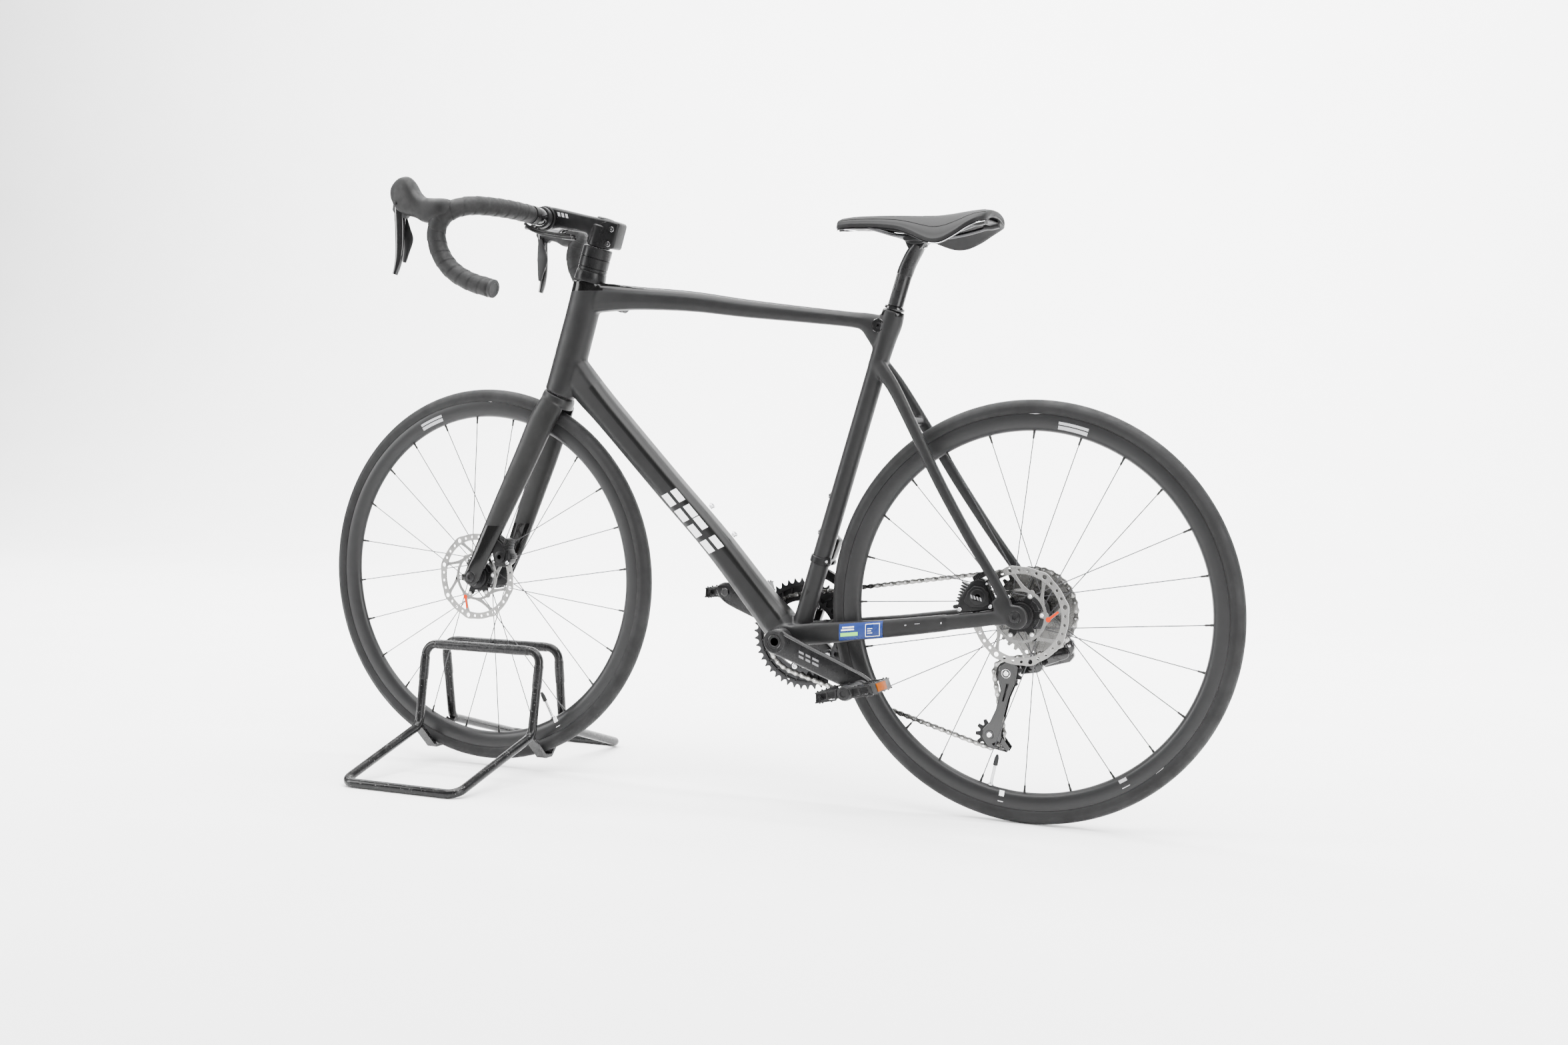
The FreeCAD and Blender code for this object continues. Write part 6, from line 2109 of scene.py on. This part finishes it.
def build_marks():
    """Blank generic marks where the machine carries printing."""
    along = Vector((DOWN_X, 0, DOWN_Z))
    across = Vector((-DOWN_Z, 0, DOWN_X))
    origin = Vector((45.4, 0, 430.5))
    bars = []
    for side in (1, -1):
        for k, start in enumerate((-16, 20, 56, 92)):
            for low, high in ((-15.5, -3.5), (2.5, 14.5)):
                if k == 1 and low > 0:
                    start += 8
                quad = []
                for d, w in ((start, low), (start + 26, low), (start + 26, high), (start, high)):
                    p = origin + along * (d - 0.32 * w) + across * w
                    quad.append((p.x, p.z))
                bars.append(plate("bar", quad, side * 22.3, side * 22.75, 0))
    fit("down_tube_marks", bars, "frame", M["white"], "frame_paint", sharp=None)
    place(stay_strip("stay_label", -201, -282, -13.6, 13.6, 0.25), "frame", M["sticker"], "frame_paint")
    lines = [
        stay_strip("line", -207, -229, 6.2, 8.6, 0.45), stay_strip("line", -205, -229, 2.0, 4.4, 0.45),
        stay_strip("frame", -250, -277, 9.6, 10.6, 0.45), stay_strip("frame", -250, -277, -10.8, -9.8, 0.45),
        stay_strip("frame", -250, -251, -10.8, 10.6, 0.45),
        stay_strip("frame", -276, -277, -10.8, 10.6, 0.45),
        stay_strip("line", -254, -263, 2.0, 3.2, 0.45), stay_strip("line", -254, -261, -1.6, -0.4, 0.45),
        stay_strip("line", -254, -263, -5.2, -4.0, 0.45),
    ]
    fit("stay_label_lines", lines, "frame", M["white"], "frame_paint", sharp=None)
    place(stay_strip("stay_label_band", -204, -236, -7.4, -1.4, 0.45), "frame", M["green"], "frame_paint")
    nicks = [
        stay_strip("nick", -322, -325, 2.5, 4.0, 0.2), stay_strip("nick", -340, -349, 3.5, 4.1, 0.2),
        stay_strip("nick", -386, -388.2, 0.0, 2.4, 0.2)
    ]
    fit("stay_specks", nicks, "frame", M["label"], "frame_paint", sharp=None)




def stay_strip(name, x0, x1, low, high, lift):
    """Thin film that follows the outside of the left chainstay."""
    rings = []
    for i in range(13):
        x = x0 + (x1 - x0) * i / 12
        for a, b in zip(LABEL_ROWS, LABEL_ROWS[1:]):
            if b[0] <= x <= a[0]:
                t = (x - a[0]) / (b[0] - a[0])
                centre_y, centre_z, half, thick = [a[n] + (b[n] - a[n]) * t for n in (1, 2, 3, 4)]
        outer, inner = [], []
        for j in range(9):
            level = low + (high - low) * j / 8
            bow = (1 - min(0.97, abs(level) / half) ** 3.2) ** (1 / 3.2)
            outer.append((x, centre_y + thick * bow + lift + 0.25, centre_z + level))
            inner.append((x, centre_y + thick * bow - 1.2, centre_z + level))
        rings.append(outer + inner[::-1])
    return skin(name, rings)


# Stand
def stand_corner(corner, end, side):
    """Corner of a stand loop before its bend, at the rear or front end."""
    return Vector((FRONT[0] + corner[end], side * corner["y"], corner["z"]))


def stand_path(side):
    """Closed loop: foot, rising legs and top bar."""
    feet = [Vector((FRONT[0] + x, side * 271, STAND_TUBE_R)) for x in (118, -118)]
    knees = [stand_corner(STAND_KNEE, end, side) for end in ("rear", "front")]
    tops = [stand_corner(STAND_TOP, end, side) for end in ("rear", "front")]
    points = feet + [knees[0], tops[0], tops[1], knees[1]]
    count = len(points)
    path = []
    for i, p in enumerate(points):
        before, after = points[i - 1], points[(i + 1) % count]
        a, b = (before - p).normalized(), (after - p).normalized()
        half_angle = a.angle(b) / 2
        reach = STAND_BEND_R / math.tan(half_angle)
        start, end = p + a * reach, p + b * reach
        centre = p + (a + b).normalized() * (STAND_BEND_R / math.sin(half_angle))
        u = (start - centre).normalized()
        turn = u.angle((end - centre).normalized())
        axis = u.cross((end - centre).normalized()).normalized()
        for k in range(11):
            path.append(centre + Matrix.Rotation(turn * k / 10, 3, axis) @ u * STAND_BEND_R)
    return path


def loop_tube(name, path, radius):
    """Round tube along a path that comes back to its own start."""
    rings = []
    count = len(path)
    side = None
    for i, p in enumerate(path):
        t = (path[(i + 1) % count] - path[i - 1]).normalized()
        if side is None:
            side = t.orthogonal()
        side = (side - t * side.dot(t)).normalized()
        up = t.cross(side)
        rings.append(circle(p, side, up, radius, 20))
    return skin(name, rings)


def build_stand():
    for side, word in ((1, "left"), (-1, "right")):
        path = stand_path(side)
        obj = loop_tube("stand_tube_" + word, path + path[:1], STAND_TUBE_R)
        place(obj, "stand", M["stand"], "stand_paint", "stand_loop_" + word)
    sleeves = []
    for side in (1, -1):
        top = [Vector((FRONT[0] + x, side * STAND_TOP["y"], STAND_TOP["z"])) for x in (-107, 94)]
        sleeves.append(wrinkled("sleeve", top[0], top[1], 9.1, 3))
        for end in ("front", "rear"):
            high = stand_corner(STAND_TOP, end, side)
            way = (stand_corner(STAND_KNEE, end, side) - high).normalized()
            sleeves.append(wrinkled("sleeve", high + way * 24, high + way * 66, 9.1, 5))
    fit("stand_sleeve_film", sleeves, "stand", M["sleeve"], "stand_sleeve", "stand_sleeves", sharp=60)


def wrinkled(name, a, b, radius, seed):
    """Film sleeve between two points, with shallow folds and ends that cling to the tube."""
    rings = []
    axis = (b - a).normalized()
    u = axis.orthogonal().normalized()
    v = axis.cross(u)
    length = (b - a).length
    steps = max(12, int(length / 1.6))
    for i in range(steps + 1):
        t = i / steps
        edge = min(1.0, t * steps / 2.0 + 0.25, (1 - t) * steps / 2.0 + 0.25)
        ring = []
        for j in range(28):
            angle = 2 * math.pi * j / 28
            fold = 0.10 * math.sin(
                2 * angle + t * length / 11.0 + seed
            ) + 0.08 * math.sin(3 * angle - t * length / 7.0) + 0.05 * math.sin(5 * angle + t * length / 4.1)
            ring.append(
                a + axis * (length * t)
                + (u * math.cos(angle) + v * math.sin(angle)) * (radius - 1.0 + 0.6 * edge + fold * edge)
            )
        rings.append(ring)
    return skin(name, rings, sharp=60)


# Carried-over parts get their materials by slot
def dress_cad():
    """Finish each CAD node that stays in view by the name of its slot."""
    by_slot = {
        "stand_paint": "stand", "stand_sleeve": "sleeve", "frame_paint": "frame",
        "black_alloy": "black_alloy", "black_plastic": "plastic",
        "tape": "tape", "hood_rubber": "hood", "rim": "rim", "spoke": "spoke", "valve": "bright",
        "steel": "steel", "bearing": "steel",
        "chain": "chain", "crank_alloy": "crank", "pedal": "plastic", "saddle_cover": "saddle",
        "saddle_shell": "plastic", "rail": "rail", "hose": "hose",
    }
    for name, info in NODES.items():
        obj = info["object"] if isinstance(info, dict) and "object" in info else bpy.data.objects.get(name)
        if obj is None or obj.type != "MESH":
            continue
        for slot in obj.material_slots:
            key = slot.material.name.split(".")[0] if slot.material else ""
            slot.material = M["cog"] if name == "cassette" else M[by_slot.get(key, "black_alloy")]


# Stage
CAMERA_AT = Vector((-1.319, 2.700, 0.647))
CAMERA_YAW = math.radians(-65.37)
CAMERA_PITCH = math.radians(-3.44)
CAMERA_ROLL = math.radians(0.54)
CAMERA_LENS = 40.44


def build_camera():
    forward = Vector((
        math.cos(CAMERA_PITCH) * math.cos(CAMERA_YAW), math.cos(CAMERA_PITCH) * math.sin(CAMERA_YAW),
        math.sin(CAMERA_PITCH)
    ))
    level = forward.cross(Vector((0, 0, 1))).normalized()
    up = level.cross(forward)
    right = level * math.cos(CAMERA_ROLL) + up * math.sin(CAMERA_ROLL)
    top = up * math.cos(CAMERA_ROLL) - level * math.sin(CAMERA_ROLL)
    data = bpy.data.cameras.new("view")
    data.lens = CAMERA_LENS
    data.sensor_width = 36.0
    camera = bpy.data.objects.new("view", data)
    bpy.context.scene.collection.objects.link(camera)
    turn = Matrix((right, top, -forward)).transposed().to_4x4()
    camera.matrix_world = Matrix.Translation(CAMERA_AT) @ turn
    bpy.context.scene.camera = camera


def build_floor():
    """A pale floor that curves up into a pale wall behind the machine."""
    s = surface("studio_paper", (0.93, 0.93, 0.93), 0.75, vary=0.01, grain=300, relief=0.02, patch=3)
    profile = [(-9.0, 0.0), (3.2, 0.0)]
    profile += [
        (3.2 + 2.4 * math.sin(math.radians(a)), 2.4 - 2.4 * math.cos(math.radians(a)))
        for a in range(5, 91, 5)
    ]
    profile.append((5.6, 9.0))
    verts, faces = [], []
    for side in (-9.0, 9.0):
        verts += [(1000 * side, -1000 * d, 1000 * h) for d, h in profile]
    n = len(profile)
    faces = [(i, i + 1, n + i + 1, n + i) for i in range(n - 1)]
    floor = new_mesh("studio_sweep", verts, faces, 80)
    floor.data.materials.append(s.material)


def area(name, at, aim, size, power):
    data = bpy.data.lights.new(name, "AREA")
    data.shape = "RECTANGLE"
    data.size, data.size_y = size
    data.energy = power
    lamp = bpy.data.objects.new(name, data)
    bpy.context.scene.collection.objects.link(lamp)
    lamp.location = at
    lamp.rotation_euler = (Vector(aim) - Vector(at)).to_track_quat("-Z", "Y").to_euler()


def build_light():
    world = bpy.data.worlds.new("studio")
    bpy.context.scene.world = world
    world.use_nodes = True
    back = world.node_tree.nodes["Background"]
    back.inputs["Color"].default_value = (1.0, 1.0, 1.0, 1.0)
    back.inputs["Strength"].default_value = 0.45
    area("overhead", (0.0, 0.6, 3.4), (0.0, 0.0, 0.4), (4.4, 2.6), 520)
    area("left_wall", (-3.6, 1.6, 1.6), (0.0, 0.0, 0.6), (1.8, 2.6), 240)
    area("right_wall", (3.4, 2.0, 1.7), (0.2, 0.0, 0.6), (1.4, 2.6), 200)
    area("wall_wash", (1.6, -1.4, 4.2), (1.8, -5.4, 1.0), (10.0, 1.4), 1900)


build_frame()
build_fork()
build_steering_stack()
build_stem()
build_bar()
build_computer_mount()
build_controls()
build_badge()
build_wheel(
    "front", FRONT, flanges=(24.0, -28.0), phase=-4.6, valve_angle=241.5, rotor_y=38.6, rotor_phase=14.5,
    tabs=54.0
)
build_wheel(
    "rear", REAR, flanges=(34.0, -18.0), phase=0.6, valve_angle=282.0, rotor_y=51.3, rotor_phase=31.3,
    tabs=56.0
)
build_saddle()
build_seatpost()
for hand in (1, -1):
    build_crank(hand)
    build_pedal(hand)
build_ring_details()
build_chain()
build_cassette_details()
build_front_derailleur()
build_rear_derailleur()
build_calipers()
build_axles()
build_bosses()
build_marks()
build_stand()
dress_cad()
build_floor()
build_light()
build_camera()
